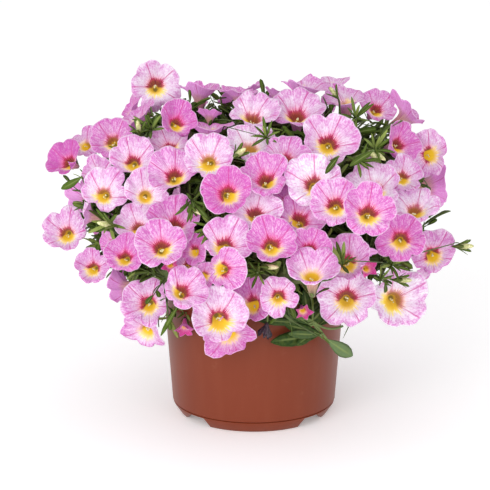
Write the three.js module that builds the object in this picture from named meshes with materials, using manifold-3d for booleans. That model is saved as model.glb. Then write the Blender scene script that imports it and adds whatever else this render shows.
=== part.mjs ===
// A calibrachoa in bloom, growing in its round plastic pot.
// Millimetres, +Z up. The origin is on the pot's axis, on the surface that the pot stands on,
// and the plant's front faces -Y.

import * as THREE from 'three';
import { mergeVertices } from 'three/addons/utils/BufferGeometryUtils.js';
import Module from 'manifold-3d';

const wasm = await Module();
wasm.setup();

// ---------------------------------------------------------------- driving dimensions

const CLEARANCE = 0.3;

// How far a cutter reaches past what it cuts.
const CUT_MARGIN = 1;

const POT = {
  height: 98,
  lipRadius: 65,
  lipHeight: 12,
  lipProud: 2.4,
  seamRadius: 56.2,
  seamHeight: 7.2,
  seamStep: 0.5,
  footRadius: 52,
  footWidth: 3.5,
  wall: 1.5,
  floor: 2.3,
  bevel: 0.8,
  segments: 36,
};

// The gaps between the four feet, in degrees from the front: long arcs stand in front and
// behind, and the feet at the sides have long slanted ends.
const FOOT_GAP = { bottom: [35.6, 65], top: [38.3, 50] };
const DRAIN = { radius: 4.5, ring: 34, count: 6, sides: 10 };

const SOIL = {
  top: 87,
  edge: 84,
  rounding: 12,
  bevel: 1.2,
  segments: 24,
  holePlay: 0.8,
  holeDepth: 30,
  holeSides: 6,
};

// The rim centres of the blooms lie about on this dome, an ellipsoid whose lower part is flatter.
const DOME = { centre: new THREE.Vector3(0, 15, 145), across: 133, deep: 124, rise: 82, drop: 74 };

// A bloom's parts as shares of its rim radius: each is a radius and a depth behind the rim. Each
// lobe has two shoulders, which lie nearer to the notches than an even spacing by a share.
const BLOOM = {
  lobes: 5,
  throat: [0.24, 0.42],
  throatBottom: 0.95,
  lobe: [1.0, 0.0],
  notch: [0.85, 0.05],
  broaden: 0.2,
  neck: [0.3, 0.6],
  calyx: [0.13, 1.45],
  stalkRadius: 1.1,
};

// Neighbouring blooms of one branch share a spray: their stalks meet at a fork, and one short
// stem joins the fork to the branch. The fork stands out of the branch's heart.
const SPRAY = {
  blooms: 2.9,
  forkOut: 9,
  forkLeast: 3.5,
  stemRadius: 2.2,
  stemEnd: 1.2,
  straight: 7,
  bendShare: 0.4,
  bendBack: 4.2,
};

// A leaf's outline is given at two shares of its length, each with its share of the half width
// and of the tip's droop.
const LEAF = {
  length: 18,
  widthShare: 0.35,
  thickness: 1.0,
  arch: 0.3,
  ridge: 0.5,
  droop: 0.12,
  outline: [[0.4, 0.92, 0], [0.78, 0.8, 0.4]],
  sizes: [0.85, 1.25],
};

const TWIG = {
  radius: 0.9,
  taper: [1, 0.9, 0.7],
  bend: 2,
  leaves: 4,
  leafStretch: [0.42, 0.98],
  leafSpread: 0.95,
  tipLeafSpread: 0.15,
  leafRise: 0.2,
  baseStretch: [0.3, 0.95],
  lean: [0.2, 1.1],
  rise: 0.3,
  tries: 90,
  reach: [20, 75],
  reachStep: 2,
  shorter: [1, 0.8, 0.62],
  least: 9,
  domeShare: 0.95,
};

const STEM_SIDES = 3;
const SCRAP_VOLUME = 1;

// ---------------------------------------------------------------- small helpers

const UP = new THREE.Vector3(0, 0, 1);
const GOLDEN_ANGLE = Math.PI * (3 - Math.sqrt(5));
const { degToRad: radians, lerp } = THREE.MathUtils;
const vec = (x, y, z) => new THREE.Vector3(x, y, z);
const along = (point, direction, distance) => point.clone().addScaledVector(direction, distance);

// A seeded draw between 0 and 1 (mulberry32).
function seededDraw(seed) {
  let state = seed;
  return () => {
    state = (state + 0x6d2b79f5) | 0;
    let t = Math.imul(state ^ (state >>> 15), 1 | state);
    t = (t + Math.imul(t ^ (t >>> 7), 61 | t)) ^ t;
    return ((t ^ (t >>> 14)) >>> 0) / 4294967296;
  };
}

// A unit vector by its turn from the front (+ to the right) and its rise above the horizontal.
function facing(turn, rise) {
  const t = radians(turn);
  const r = radians(rise);
  return vec(Math.cos(r) * Math.sin(t), -Math.cos(r) * Math.cos(t), Math.sin(r));
}

// Two unit vectors across an axis, the first one level where it can be.
function across(axis) {
  const helper = Math.abs(axis.z) > 0.95 ? vec(1, 0, 0) : UP;
  const side = vec(0, 0, 0).crossVectors(helper, axis).normalize();
  return [side, vec(0, 0, 0).crossVectors(axis, side)];
}

// A ring of points round an axis; radiusAt and depthAt may differ round the ring.
function ringPoints(centre, axis, roll, count, radiusAt, depthAt, shiftAt = () => 0) {
  const [side, other] = across(axis);
  return Array.from({ length: count }, (_, k) => {
    const angle = roll + (2 * Math.PI * (k + shiftAt(k))) / count;
    return along(centre, axis, -depthAt(k))
      .addScaledVector(side, radiusAt(k) * Math.cos(angle))
      .addScaledVector(other, radiusAt(k) * Math.sin(angle));
  });
}

// Triangles between two rings of point numbers. The ring with more points goes first on a tie,
// so that both faces of a thin blade are split alike.
function stitch(a, b, triangles) {
  const stepsA = a.length > 1 ? a.length : 0;
  const stepsB = b.length > 1 ? b.length : 0;
  let i = 0;
  let j = 0;
  while (i < stepsA || j < stepsB) {
    const nextA = i < stepsA ? (i + 0.5) / stepsA : Infinity;
    const nextB = j < stepsB ? (j + 0.5) / stepsB : Infinity;
    const tie = Math.abs(nextA - nextB) < 1e-9;
    const takeA = tie ? stepsA > stepsB : nextA < nextB;
    if (takeA) {
      triangles.push(a[i], b[j % b.length], a[(i + 1) % stepsA]);
      i += 1;
    } else {
      triangles.push(a[i % a.length], b[j], b[(j + 1) % stepsB]);
      j += 1;
    }
  }
}

// A ring of point numbers, begun at the point that is nearest to a place.
function startNearest(ring, place, points) {
  const distances = ring.map((number) => points[number].distanceTo(place));
  const first = distances.indexOf(Math.min(...distances));
  return ring.slice(first).concat(ring.slice(0, first));
}

// A closed solid through rings of points. A ring of one point is a tip; other ends are capped.
function loft(rings) {
  const points = rings.flat();
  const triangles = [];
  let start = 0;
  const numbered = rings.map((ring) => {
    const numbers = ring.map((_, k) => start + k);
    start += ring.length;
    return numbers;
  });
  for (let k = 1; k < numbered.length; k += 1) {
    numbered[k] = startNearest(numbered[k], points[numbered[k - 1][0]], points);
    stitch(numbered[k - 1], numbered[k], triangles);
  }
  const cap = (ring, turn) => {
    for (let k = 1; k < ring.length - 1; k += 1) {
      triangles.push(ring[0], ...(turn ? [ring[k + 1], ring[k]] : [ring[k], ring[k + 1]]));
    }
  };
  cap(numbered[0], false);
  cap(numbered[numbered.length - 1], true);
  return solidOf(points, triangles);
}

function solidOf(points, triangles) {
  let volume = 0;
  for (let k = 0; k < triangles.length; k += 3) {
    const [a, b, c] = [0, 1, 2].map((n) => points[triangles[k + n]]);
    volume += a.dot(vec(0, 0, 0).crossVectors(b, c));
  }
  const outward = volume > 0 ? triangles : triangles.slice().reverse();
  return new wasm.Manifold(new wasm.Mesh({
    numProp: 3,
    vertProperties: new Float32Array(points.flatMap((p) => p.toArray())),
    triVerts: new Uint32Array(outward),
  }));
}

function solidFromGeometry(geometry) {
  const bare = new THREE.BufferGeometry();
  bare.setAttribute('position', geometry.getAttribute('position'));
  bare.setIndex(geometry.getIndex());
  const merged = mergeVertices(bare, 1e-4);
  const position = merged.getAttribute('position');
  const points = Array.from({ length: position.count },
    (_, k) => vec(0, 0, 0).fromBufferAttribute(position, k));
  const index = Array.from(merged.getIndex().array);
  const whole = [];
  for (let k = 0; k < index.length; k += 3) {
    const [a, b, c] = index.slice(k, k + 3);
    if (a !== b && b !== c && c !== a) whole.push(a, b, c);
  }
  return solidOf(points, whole);
}

// A solid's points and triangles, with points joined that lie closer than a hair's breadth.
// It is closed when every edge has two triangles, one running each way.
const HAIR = 0.012;

function joinedMesh(solid) {
  const { vertProperties, triVerts } = solid.getMesh();
  const place = (k) => vec(...vertProperties.subarray(3 * k, 3 * k + 3));
  const joinedTo = Array.from({ length: vertProperties.length / 3 }, (_, k) => k);
  const rootOf = (k) => {
    let root = k;
    while (joinedTo[root] !== root) root = joinedTo[root];
    return root;
  };
  const triangles = [];
  for (let k = 0; k < triVerts.length; k += 3) triangles.push(Array.from(triVerts.slice(k, k + 3)));
  const edgesOf = ([a, b, c]) => [[a, b], [b, c], [c, a]];
  for (const [a, b] of triangles.flatMap(edgesOf)) {
    if (place(a).distanceTo(place(b)) < HAIR) joinedTo[rootOf(a)] = rootOf(b);
  }
  const whole = triangles.map((triangle) => triangle.map(rootOf))
    .filter(([a, b, c]) => a !== b && b !== c && c !== a);
  const directed = new Set();
  let repeats = 0;
  for (const [a, b] of whole.flatMap(edgesOf)) {
    const edge = `${a},${b}`;
    if (directed.has(edge)) repeats += 1;
    directed.add(edge);
  }
  const lone = [...directed].filter((edge) => !directed.has(edge.split(',').reverse().join()));
  const places = new Set(whole.flat().map((k) => place(k).toArray().map((x) => x.toFixed(3)).join()));
  const apart = places.size === new Set(whole.flat()).size;
  return { vertProperties, whole, closed: repeats === 0 && lone.length === 0 && apart };
}

function geometryFromSolid(solid) {
  const { vertProperties, whole } = joinedMesh(solid);
  const numbers = [...new Set(whole.flat())];
  const newNumber = new Map(numbers.map((old, k) => [old, k]));
  const positions = numbers.flatMap((old) => Array.from(vertProperties.subarray(3 * old, 3 * old + 3)));
  const geometry = new THREE.BufferGeometry();
  geometry.setAttribute('position', new THREE.Float32BufferAttribute(positions, 3));
  geometry.setIndex(whole.flat().map((old) => newNumber.get(old)));
  return geometry;
}

// A turned body about the Z axis from a profile of [radius, height] points.
function turned(profile, segments) {
  const geometry = new THREE.LatheGeometry(profile.map(([r, z]) => new THREE.Vector2(r, z)), segments);
  geometry.rotateX(Math.PI / 2);
  return solidFromGeometry(geometry);
}

// A rod along a list of points with a radius at each, ending flat, or in a tip at a zero radius.
function rod(points, radii, sides) {
  const rings = points.map((point, k) => {
    const before = points[Math.max(k - 1, 0)];
    const after = points[Math.min(k + 1, points.length - 1)];
    const axis = after.clone().sub(before).normalize();
    return radii[k] === 0 ? [point.clone()] : rodRing(point, axis, radii[k], sides);
  });
  return loft(rings);
}

// The ring's first point is on the side of one fixed direction, so that a rod isn't twisted.
const ROD_SIDE = vec(0.31, 0.23, 0.05).normalize();
function rodRing(centre, axis, radius, sides) {
  const side = ROD_SIDE.clone().addScaledVector(axis, -ROD_SIDE.dot(axis)).normalize();
  const other = vec(0, 0, 0).crossVectors(axis, side);
  return Array.from({ length: sides }, (_, k) => {
    const angle = (2 * Math.PI * k) / sides;
    return along(centre, side, radius * Math.cos(angle)).addScaledVector(other, radius * Math.sin(angle));
  });
}

// What stands already, so that each new piece can be bent or pushed clear of it.
const standing = [];

function stand(solid, owner) {
  standing.push({ solid, owner, box: boxOf(solid) });
}

function unstand(owner) {
  standing.splice(standing.findIndex((other) => other.owner === owner), 1);
}

function boxOf(solid) {
  const { min, max } = solid.boundingBox();
  return new THREE.Box3(vec(...min), vec(...max));
}

function touches(solid, ignored = []) {
  const box = boxOf(solid);
  return standing.some((other) => !ignored.includes(other.owner)
    && other.box.intersectsBox(box)
    && !other.solid.intersect(solid).isEmpty());
}

// ---------------------------------------------------------------- pot

// The wall's outer radius at a height, between the seam and the lip.
function wallRadius(height) {
  const lipBottom = POT.height - POT.lipHeight;
  const lipWall = POT.lipRadius - POT.lipProud;
  const share = (height - POT.seamHeight) / (lipBottom - POT.seamHeight);
  return POT.seamRadius + POT.seamStep + share * (lipWall - POT.seamRadius - POT.seamStep);
}

// A wedge between two feet, under the wall's lower edge: from and to are turns in degrees.
function footGap(turned) {
  const inner = POT.footRadius - POT.footWidth - 3 * CUT_MARGIN;
  const outer = POT.seamRadius + 3 * CUT_MARGIN;
  const ring = ([from, to], z) => [[inner, from], [inner, to], [outer, to], [outer, from]].map(
    ([radius, turn]) => facing(turned(turn), 0).multiplyScalar(radius).setZ(z));
  return loft([ring(FOOT_GAP.bottom, -CUT_MARGIN), ring(FOOT_GAP.top, POT.seamHeight)]);
}

function makePot() {
  const floorTop = POT.seamHeight + POT.floor;
  const lipBottom = POT.height - POT.lipHeight;
  const lipWall = wallRadius(lipBottom);
  const floorWall = wallRadius(floorTop);
  const { bevel } = POT;
  const shell = turned([
    [0, POT.seamHeight],
    [POT.seamRadius - POT.footWidth, POT.seamHeight],
    [POT.footRadius - POT.footWidth, 0],
    [POT.footRadius, 0],
    [POT.seamRadius, POT.seamHeight - POT.seamStep],
    [POT.seamRadius + POT.seamStep, POT.seamHeight],
    [lipWall, lipBottom],
    [POT.lipRadius - bevel / 2, lipBottom + bevel],
    [POT.lipRadius, POT.height - bevel],
    [POT.lipRadius - bevel, POT.height],
    [lipWall, POT.height],
    [lipWall - POT.wall, lipBottom + bevel],
    [floorWall - POT.wall, floorTop + bevel],
    [floorWall - POT.wall - bevel, floorTop],
    [0, floorTop],
  ], POT.segments);

  const quarters = [(turn) => turn, (turn) => -turn, (turn) => 180 - turn, (turn) => turn - 180];
  const footed = quarters.reduce((rest, quarter) => rest.subtract(footGap(quarter)), shell);

  const drains = Array.from({ length: DRAIN.count }, (_, k) => {
    const place = facing((360 / DRAIN.count) * k, 0).multiplyScalar(DRAIN.ring);
    const ends = [POT.seamHeight - CUT_MARGIN, floorTop + CUT_MARGIN].map((z) => place.clone().setZ(z));
    return rod(ends, [DRAIN.radius, DRAIN.radius], DRAIN.sides);
  });
  return drains.reduce((rest, drain) => rest.subtract(drain), footed);
}

// ---------------------------------------------------------------- soil

// The soil fills the pot to a little below the lip.
function fillPot() {
  const bottom = POT.seamHeight + POT.floor + CLEARANCE;
  const flats = Math.cos(Math.PI / SOIL.segments);
  const inside = (height) => (wallRadius(height) - POT.wall) * flats - CLEARANCE;
  return turned([
    [0, bottom],
    [inside(bottom) - SOIL.bevel, bottom],
    [inside(SOIL.edge) - CLEARANCE, SOIL.edge],
    [inside(SOIL.edge) - SOIL.rounding, SOIL.top],
    [0, SOIL.top],
  ], SOIL.segments);
}

// The same with a plain hole for the stem of each branch.
function holeSoil(soil, branches) {
  return branches.reduce((rest, { points, stemRadius }) => {
    const foot = points[0].clone().setZ(points[0].z - CLEARANCE);
    const mouth = along(foot, points[1].clone().sub(foot).normalize(), SOIL.holeDepth);
    const radius = stemRadius + SOIL.holePlay;
    return rest.subtract(rod([foot, mouth], [radius, radius], SOIL.holeSides));
  }, soil);
}

// ---------------------------------------------------------------- leafy branches

// Each tier of branches: how many, the first one's turn, the twigs wanted on each, and its path
// as [radius, height, thickness] points, from the foot in the soil to the end. The thick stretch
// is the branch's heart, dense with twigs and leaf bases, which the leaves stand out of.
const TIERS = [
  { name: 'low', count: 7, firstTurn: 12, twigs: 2, path: [
    [30, 64, 1.9], [31, 92, 1.9], [42, 111, 7], [62, 122, 19], [82, 121, 17], [94, 117, 5]] },
  { name: 'high', count: 5, firstTurn: 38, twigs: 2, path: [
    [14, 64, 1.9], [15, 98, 1.9], [24, 130, 8], [38, 155, 16], [52, 172, 19], [60, 182, 6]] },
  { name: 'crown', count: 1, firstTurn: 0, twigs: 2, path: [
    [0, 64, 1.9], [0, 104, 1.9], [0, 138, 7], [0, 164, 13], [0, 184, 18], [0, 198, 6]] },
];
const BRANCH_SIDES = 5;
const STEM_POINTS = 2;

function makeBranches() {
  return TIERS.flatMap(({ name, count, firstTurn, twigs, path }) => Array.from({ length: count }, (_, k) => {
    const out = facing(firstTurn + (360 / count) * k, 0);
    const points = path.map(([radius, height]) => out.clone().multiplyScalar(radius).setZ(height));
    const radii = path.map(([, , thickness]) => thickness);
    const heart = points.slice(STEM_POINTS);
    return {
      label: `${name}_${k + 1}`,
      twigs,
      points,
      stemRadius: radii[0],
      solid: rod(points, radii, BRANCH_SIDES),
      swollen: rod(points, radii.map((radius) => radius + CLEARANCE), BRANCH_SIDES),
      heart,
      heartRadii: radii.slice(STEM_POINTS),
      axis: heart[heart.length - 1].clone().sub(heart[0]).normalize(),
      blooms: [],
      shoots: [],
    };
  }));
}

// The closest point to a place on the line of a branch's heart, and the heart's thickness there.
function nearestOnHeart({ heart, heartRadii }, place) {
  let best = { distance: Infinity };
  for (let k = 1; k < heart.length; k += 1) {
    const line = new THREE.Line3(heart[k - 1], heart[k]);
    const share = line.closestPointToPointParameter(place, true);
    const point = line.at(share, vec(0, 0, 0));
    const distance = point.distanceTo(place);
    const thickness = lerp(heartRadii[k - 1], heartRadii[k], share);
    if (distance < best.distance) best = { point, distance, thickness };
  }
  return best;
}

// ---------------------------------------------------------------- blooms

// The front half, set out by hand as it looks from a viewpoint in front of the plant and above
// it. Each bloom is [across, up, turn, rise, width, tier]: the first two are millimetres on a
// drawing plane through the pot's axis, square to the line of sight, the next two say in degrees
// where it faces, and a higher tier stands further out.
const VIEW = { distance: 1800, height: 637, aim: 118, footBelow: 111 };
const TIER_DEPTH = [-24, -16, -8, 0, 4, 18];
const FRONT_BLOOMS = [
  [-68, 221, 2, 25, 34, 3], [-86, 207, -75, 25, 26, 0], [-99, 185, -12, 32, 30, 2],
  [-116, 182, -25, 45, 25, 0], [-131, 171, -28, 30, 28, 2], [-84, 172, -6, 28, 30, 3],
  [-104, 149, -10, 24, 31, 4], [-109, 161, -25, 20, 23, 0], [-57, 163, 0, 36, 33, 3],
  [-59, 182, 0, 60, 29, 1], [-52, 198, 28, 22, 27, 2], [-74, 149, 5, 24, 30, 2],
  [-37, 219, -8, 98, 30, 1], [-11, 218, 12, 96, 26, 1], [17, 216, 150, 62, 20, 0],
  [-31, 202, 170, 55, 17, 0], [-31, 194, 0, 92, 33, 1], [0, 204, 0, 62, 35, 2],
  [30, 206, 0, 56, 36, 2], [52, 184, 0, 26, 37, 4], [-32, 172, -10, 24, 33, 4],
  [-3, 183, 4, 66, 34, 2], [23, 174, 2, 56, 32, 2], [7, 160, 3, 46, 33, 2],
  [-19, 148, 6, 22, 35, 4], [40, 156, 0, 26, 36, 3], [-55, 144, -75, 12, 18, 0],
  [23, 143, -10, 40, 25, 0], [55, 224, -50, 88, 25, 0], [63, 213, -5, 78, 31, 1],
  [86, 207, 24, 38, 27, 2], [108, 205, 100, 40, 34, 1], [103, 182, 45, 26, 30, 2],
  [121, 174, 28, 14, 33, 3], [104, 160, 22, 26, 27, 1], [82, 152, 0, 34, 37, 2],
  [55, 140, -8, 24, 33, 3], [33, 133, 0, 44, 33, 2], [79, 135, 4, 28, 37, 4],
  [111, 140, 14, 52, 33, 2], [101, 115, -2, 16, 33, 4], [124, 105, 14, 8, 30, 3],
  [115, 86, 60, -15, 22, 0], [100, 74, 12, 12, 37, 3], [64, 74, 0, 16, 37, 4],
  [63, 102, 0, 22, 33, 2], [75, 110, 140, 30, 20, 0], [39, 109, 8, 12, 27, 2],
  [40, 96, -2, 62, 37, 3], [17, 75, 4, 14, 28, 4], [1, 136, 0, 46, 33, 2],
  [-19, 114, -2, 26, 34, 3], [12, 114, 8, 26, 33, 3], [-20, 94, -10, 16, 27, 4],
  [-3, 73, -38, 12, 33, 2], [-18, 47, 8, -24, 35, 5], [-24, 62, 10, 8, 38, 5],
  [-48, 82, 8, 40, 30, 3], [-45, 97, 10, 20, 23, 0], [-58, 97, 5, 10, 13, 2],
  [-43, 108, -40, 14, 22, 1], [-34, 90, 20, 0, 18, 0], [-56, 129, -2, 40, 35, 2],
  [-65, 112, 2, 34, 33, 4], [-82, 124, -22, 24, 29, 1], [-90, 105, -14, 28, 27, 3],
  [-112, 96, -16, 16, 26, 3], [-131, 121, -10, 16, 31, 3], [-117, 133, -88, 12, 23, 1],
  [-101, 112, -60, -10, 21, 0], [-94, 83, -110, -20, 29, 1], [-75, 71, -12, 12, 33, 4],
  [-77, 50, -28, -22, 26, 2], [-48, 53, 0, -35, 14, 2], [34, 65, 10, -10, 13, 2],
  [78, 95, 20, 20, 14, 2],
];

const SIGHT_STEP = 1;

// How far outside the dome a place is: 1 is on it.
function domeShare(place) {
  const offset = place.clone().sub(DOME.centre);
  const half = offset.z > 0 ? DOME.rise : DOME.drop;
  return Math.hypot(offset.x / DOME.across, offset.y / DOME.deep, offset.z / half);
}

// The place on the line of sight through a point of the drawing plane where it meets the dome
// on the near side, or passes it closest.
function placeOnSight(x, up) {
  const eye = vec(0, -VIEW.distance, VIEW.height);
  const aim = vec(0, 0, VIEW.aim);
  const sight = aim.clone().sub(eye).normalize();
  const planeUp = vec(0, -sight.z, sight.y);
  const onPlane = aim.add(vec(x, 0, 0)).addScaledVector(planeUp, up - VIEW.footBelow);
  const towards = eye.sub(onPlane).normalize();
  let best = { share: Infinity };
  for (let step = 1.25 * DOME.deep; step > -DOME.deep; step -= SIGHT_STEP) {
    const place = along(onPlane, towards, step);
    const share = domeShare(place);
    if (share < best.share) best = { place, share, towards };
    if (share < 1) break;
  }
  return best;
}

function frontBlooms() {
  return FRONT_BLOOMS.map(([x, up, turn, rise, width, tier]) => {
    const { place, towards } = placeOnSight(x, up);
    return {
      centre: along(place, towards, TIER_DEPTH[tier]),
      push: towards,
      face: facing(turn, rise),
      radius: width / 2,
      tier,
    };
  });
}

// The back half by the golden-angle rule: even over the dome, each facing out and up.
const BACK = { count: 100, fromY: 18, lowest: -0.62, tiers: 4, seed: 11, width: [29, 37], lean: 0.7 };

function backBlooms() {
  const draw = seededDraw(BACK.seed);
  const blooms = [];
  for (let k = 0; k < BACK.count; k += 1) {
    const z = lerp(BACK.lowest, 1, (k + 0.5) / BACK.count);
    const flat = Math.sqrt(1 - z * z);
    const unit = vec(flat * Math.cos(k * GOLDEN_ANGLE), flat * Math.sin(k * GOLDEN_ANGLE), z);
    const size = vec(DOME.across, DOME.deep, z > 0 ? DOME.rise : DOME.drop);
    const centre = unit.clone().multiply(size).add(DOME.centre);
    const out = unit.divide(size).normalize();
    const lean = vec(draw() - 0.5, draw() - 0.5, draw() - 0.3).multiplyScalar(BACK.lean);
    const width = lerp(...BACK.width, draw());
    const tier = Math.floor(draw() * BACK.tiers);
    if (centre.y < BACK.fromY) continue;
    blooms.push({
      centre: along(centre, out, TIER_DEPTH[tier]),
      push: out,
      face: out.clone().add(lean).normalize(),
      radius: width / 2,
      tier,
    });
  }
  return blooms;
}

// A bloom's rings from the bottom of its throat over the rim to its calyx.
function bloomRings({ centre, face, radius, roll }, swell = 0) {
  const even = (share, sign) => ringPoints(centre, face, roll, BLOOM.lobes,
    () => share[0] * radius + swell, () => share[1] * radius + sign * swell);
  const rimShares = [BLOOM.notch, BLOOM.lobe, BLOOM.lobe];
  const rimShifts = [0, -BLOOM.broaden, BLOOM.broaden];
  const rim = ringPoints(centre, face, roll, 3 * BLOOM.lobes,
    (k) => rimShares[k % 3][0] * radius + swell,
    (k) => rimShares[k % 3][1] * radius,
    (k) => rimShifts[k % 3]);
  return [
    [along(centre, face, -BLOOM.throatBottom * radius)],
    even(BLOOM.throat, -1),
    rim,
    even(BLOOM.neck, 1),
    rodRing(calyxOf({ centre, face, radius }), face, BLOOM.calyx[0] * radius + swell, STEM_SIDES),
  ];
}

// The middle of a bloom's calyx, or a place further back along its stalk.
function calyxOf({ centre, face, radius }, further = 0) {
  return along(centre, face, -BLOOM.calyx[1] * radius - further);
}

// Pushes each bloom out until it is clear of what stands, and leaves out one that can't be.
const PUSH = { step: 1.5, front: 52, back: 16 };

function settleBlooms(blooms, draw, mostPush) {
  return blooms.filter((bloom) => {
    bloom.roll = draw() * 2 * Math.PI;
    let push = 0;
    while (push < mostPush && touches(loft(bloomRings(bloom, CLEARANCE)))) {
      bloom.centre.addScaledVector(bloom.push, PUSH.step);
      push += PUSH.step;
    }
    if (push >= mostPush) return false;
    const stalk = rodRing(calyxOf(bloom, SPRAY.straight), bloom.face, BLOOM.stalkRadius, STEM_SIDES);
    stand(loft([...bloomRings(bloom), stalk]), bloom);
    return true;
  });
}

// ---------------------------------------------------------------- flowering sprays

// Blooms in order round a branch, begun after the widest gap between two of them.
function fromWidestGap(blooms, angleOf) {
  const sorted = blooms.slice().sort((a, b) => angleOf(a) - angleOf(b));
  const gaps = sorted.map((bloom, k) => {
    const before = sorted[(k + sorted.length - 1) % sorted.length];
    return THREE.MathUtils.euclideanModulo(angleOf(bloom) - angleOf(before), 2 * Math.PI);
  });
  const first = gaps.indexOf(Math.max(...gaps));
  return sorted.slice(first).concat(sorted.slice(0, first));
}

// Each bloom goes to the nearest branch, and neighbours there make a spray.
function groupBlooms(branches, blooms) {
  for (const bloom of blooms) {
    const start = calyxOf(bloom, SPRAY.straight);
    const distances = branches.map((branch) => nearestOnHeart(branch, start).distance);
    branches[distances.indexOf(Math.min(...distances))].blooms.push(bloom);
  }
  return branches.flatMap((branch) => {
    const [side, other] = across(branch.axis);
    const angleOf = (bloom) => {
      const start = calyxOf(bloom, SPRAY.straight);
      const offset = start.clone().sub(nearestOnHeart(branch, start).point);
      return Math.atan2(offset.dot(other), offset.dot(side));
    };
    const sorted = fromWidestGap(branch.blooms, angleOf);
    const count = Math.max(1, Math.round(sorted.length / SPRAY.blooms));
    return Array.from({ length: count }, (_, g) => ({
      branch,
      label: `${branch.label}_${g + 1}`,
      blooms: sorted.filter((_, n) => Math.floor((n * count) / sorted.length) === g),
    }));
  });
}

// The ways a stalk may bow and a fork may stand, the plainest first.
const STALK_BOWS = [0, 4, 8, 12, 17, 22].flatMap(
  (bow) => (bow ? [0, 45, 90, 135, 180, 225, 270, 315] : [0]).map((turn) => ({ bow, turn })));
const FORK_PLACES = [0, 5, -3, 10, 15, 20].flatMap(
  (further) => [0, 8, -8, 14, -14, 22, -22].map((slide) => ({ further, slide })));

// A stalk's rings from behind the calyx to the fork.
function stalkRings(bloom, fork, { bow, turn }, swell = 0) {
  const start = calyxOf(bloom);
  const [side, other] = across(fork.clone().sub(start).normalize());
  const middle = start.clone().lerp(fork, SPRAY.bendShare)
    .addScaledVector(bloom.face, -SPRAY.bendBack)
    .addScaledVector(side, bow * Math.cos(radians(turn)))
    .addScaledVector(other, bow * Math.sin(radians(turn)));
  const outward = start.clone().sub(fork).normalize();
  const radius = BLOOM.stalkRadius + swell;
  return [
    rodRing(middle, outward.clone().add(bloom.face).normalize(), radius, STEM_SIDES),
    rodRing(fork, middle.clone().sub(fork).normalize(), radius, STEM_SIDES),
  ];
}

// The spray as one body, cut back where its stem meets the branch, without loose scraps.
function cutSpray(pieces, branches) {
  const whole = pieces.reduce((sum, piece) => sum.add(piece));
  const cut = branches.reduce((rest, { swollen }) => rest.subtract(swollen), whole);
  const bodies = cut.decompose().filter((body) => body.volume() > SCRAP_VOLUME);
  return bodies.length === 1 ? bodies[0] : cut;
}

// The spray with its fork at one place, and how many faults it has there.
function forkSpray({ branch, blooms }, meeting, { further, slide }, branches) {
  const { point, thickness } = nearestOnHeart(branch, meeting);
  const seat = along(point, branch.axis, slide / 2);
  const outward = meeting.clone().sub(seat).normalize();
  const wanted = Math.min(thickness + SPRAY.forkOut + further, meeting.distanceTo(seat));
  const reach = Math.max(thickness + SPRAY.forkLeast, wanted);
  const fork = along(seat, outward, reach).addScaledVector(branch.axis, slide / 2);
  const stemWith = (swell) => {
    const radius = SPRAY.stemRadius + swell;
    return rod([along(fork, outward, SPRAY.stemEnd + swell), seat], [radius, radius], STEM_SIDES);
  };
  let faults = touches(stemWith(CLEARANCE), [...blooms, branch]) ? 1 : 0;
  const flowers = blooms.map((bloom) => {
    const clear = STALK_BOWS.find((way) => !touches(
      loft([bloomRings(bloom, CLEARANCE).pop(), ...stalkRings(bloom, fork, way, CLEARANCE)]), blooms));
    if (!clear) faults += 1;
    return loft([...bloomRings(bloom), ...stalkRings(bloom, fork, clear ?? STALK_BOWS[0])]);
  });
  const solid = cutSpray([stemWith(0), ...flowers], branches);
  if (solid.decompose().length > 1 || !joinedMesh(solid).closed) faults += 1;
  return { solid, faults };
}

// The first spray without a fault, or the one with the fewest.
function buildSpray(spray, branches) {
  const starts = spray.blooms.map((bloom) => calyxOf(bloom, SPRAY.straight));
  const meeting = starts.reduce((sum, start) => sum.add(start), vec(0, 0, 0)).divideScalar(starts.length);
  let best = { faults: Infinity };
  for (const place of FORK_PLACES) {
    const tried = forkSpray(spray, meeting, place, branches);
    if (tried.faults < best.faults) best = tried;
    if (best.faults === 0) break;
  }
  spray.blooms.forEach(unstand);
  stand(best.solid, spray);
  return best.solid;
}

// ---------------------------------------------------------------- leaves

// A blade as a thin double-sided kite with six outline points, arched down to its tip.
function leafSolid({ base, direction, length, width }, swell = 0) {
  const [side, up] = across(direction);
  const at = (forward, sideways, lift) => along(base, direction, forward)
    .addScaledVector(side, sideways)
    .addScaledVector(up, lift);
  const half = width / 2 + swell;
  const droop = -LEAF.droop * length;
  const edge = (sign) => LEAF.outline.map(
    ([forward, sideways, lift]) => at(forward * length, sign * sideways * half, lift * droop));
  const outline = [
    at(-swell, 0, 0),
    ...edge(1),
    at(length + swell, 0, droop),
    ...edge(-1).reverse(),
  ];
  const thick = LEAF.thickness / 2 + swell;
  const ridges = [thick, -thick].map((lift) => [at(LEAF.ridge * length, 0, LEAF.arch + lift)]);
  return loft([ridges[0], outline, ridges[1]]);
}

// Leaves up a twig by the golden angle, spread from it and raised to the light.
function twigLeaves({ points, leaves, length }, draw) {
  const line = new THREE.CatmullRomCurve3(points);
  const firstAngle = draw() * 2 * Math.PI;
  return Array.from({ length: leaves }, (_, k) => {
    const share = lerp(...TWIG.leafStretch, k / (leaves - 1));
    const forward = line.getTangent(share);
    const [side, other] = across(forward);
    const angle = firstAngle + k * GOLDEN_ANGLE;
    const spread = k === leaves - 1 ? TWIG.tipLeafSpread : TWIG.leafSpread;
    const size = length * lerp(...LEAF.sizes, draw());
    return {
      base: line.getPoint(share),
      direction: forward.clone()
        .addScaledVector(side, spread * Math.cos(angle))
        .addScaledVector(other, spread * Math.sin(angle))
        .addScaledVector(UP, TWIG.leafRise)
        .normalize(),
      length: size,
      width: size * LEAF.widthShare,
    };
  });
}

// A leaf that would cross another node is turned aside, or left off where no turn helps.
const LEAF_TURNS = [0, 35, -35, 70, -70];

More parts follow.
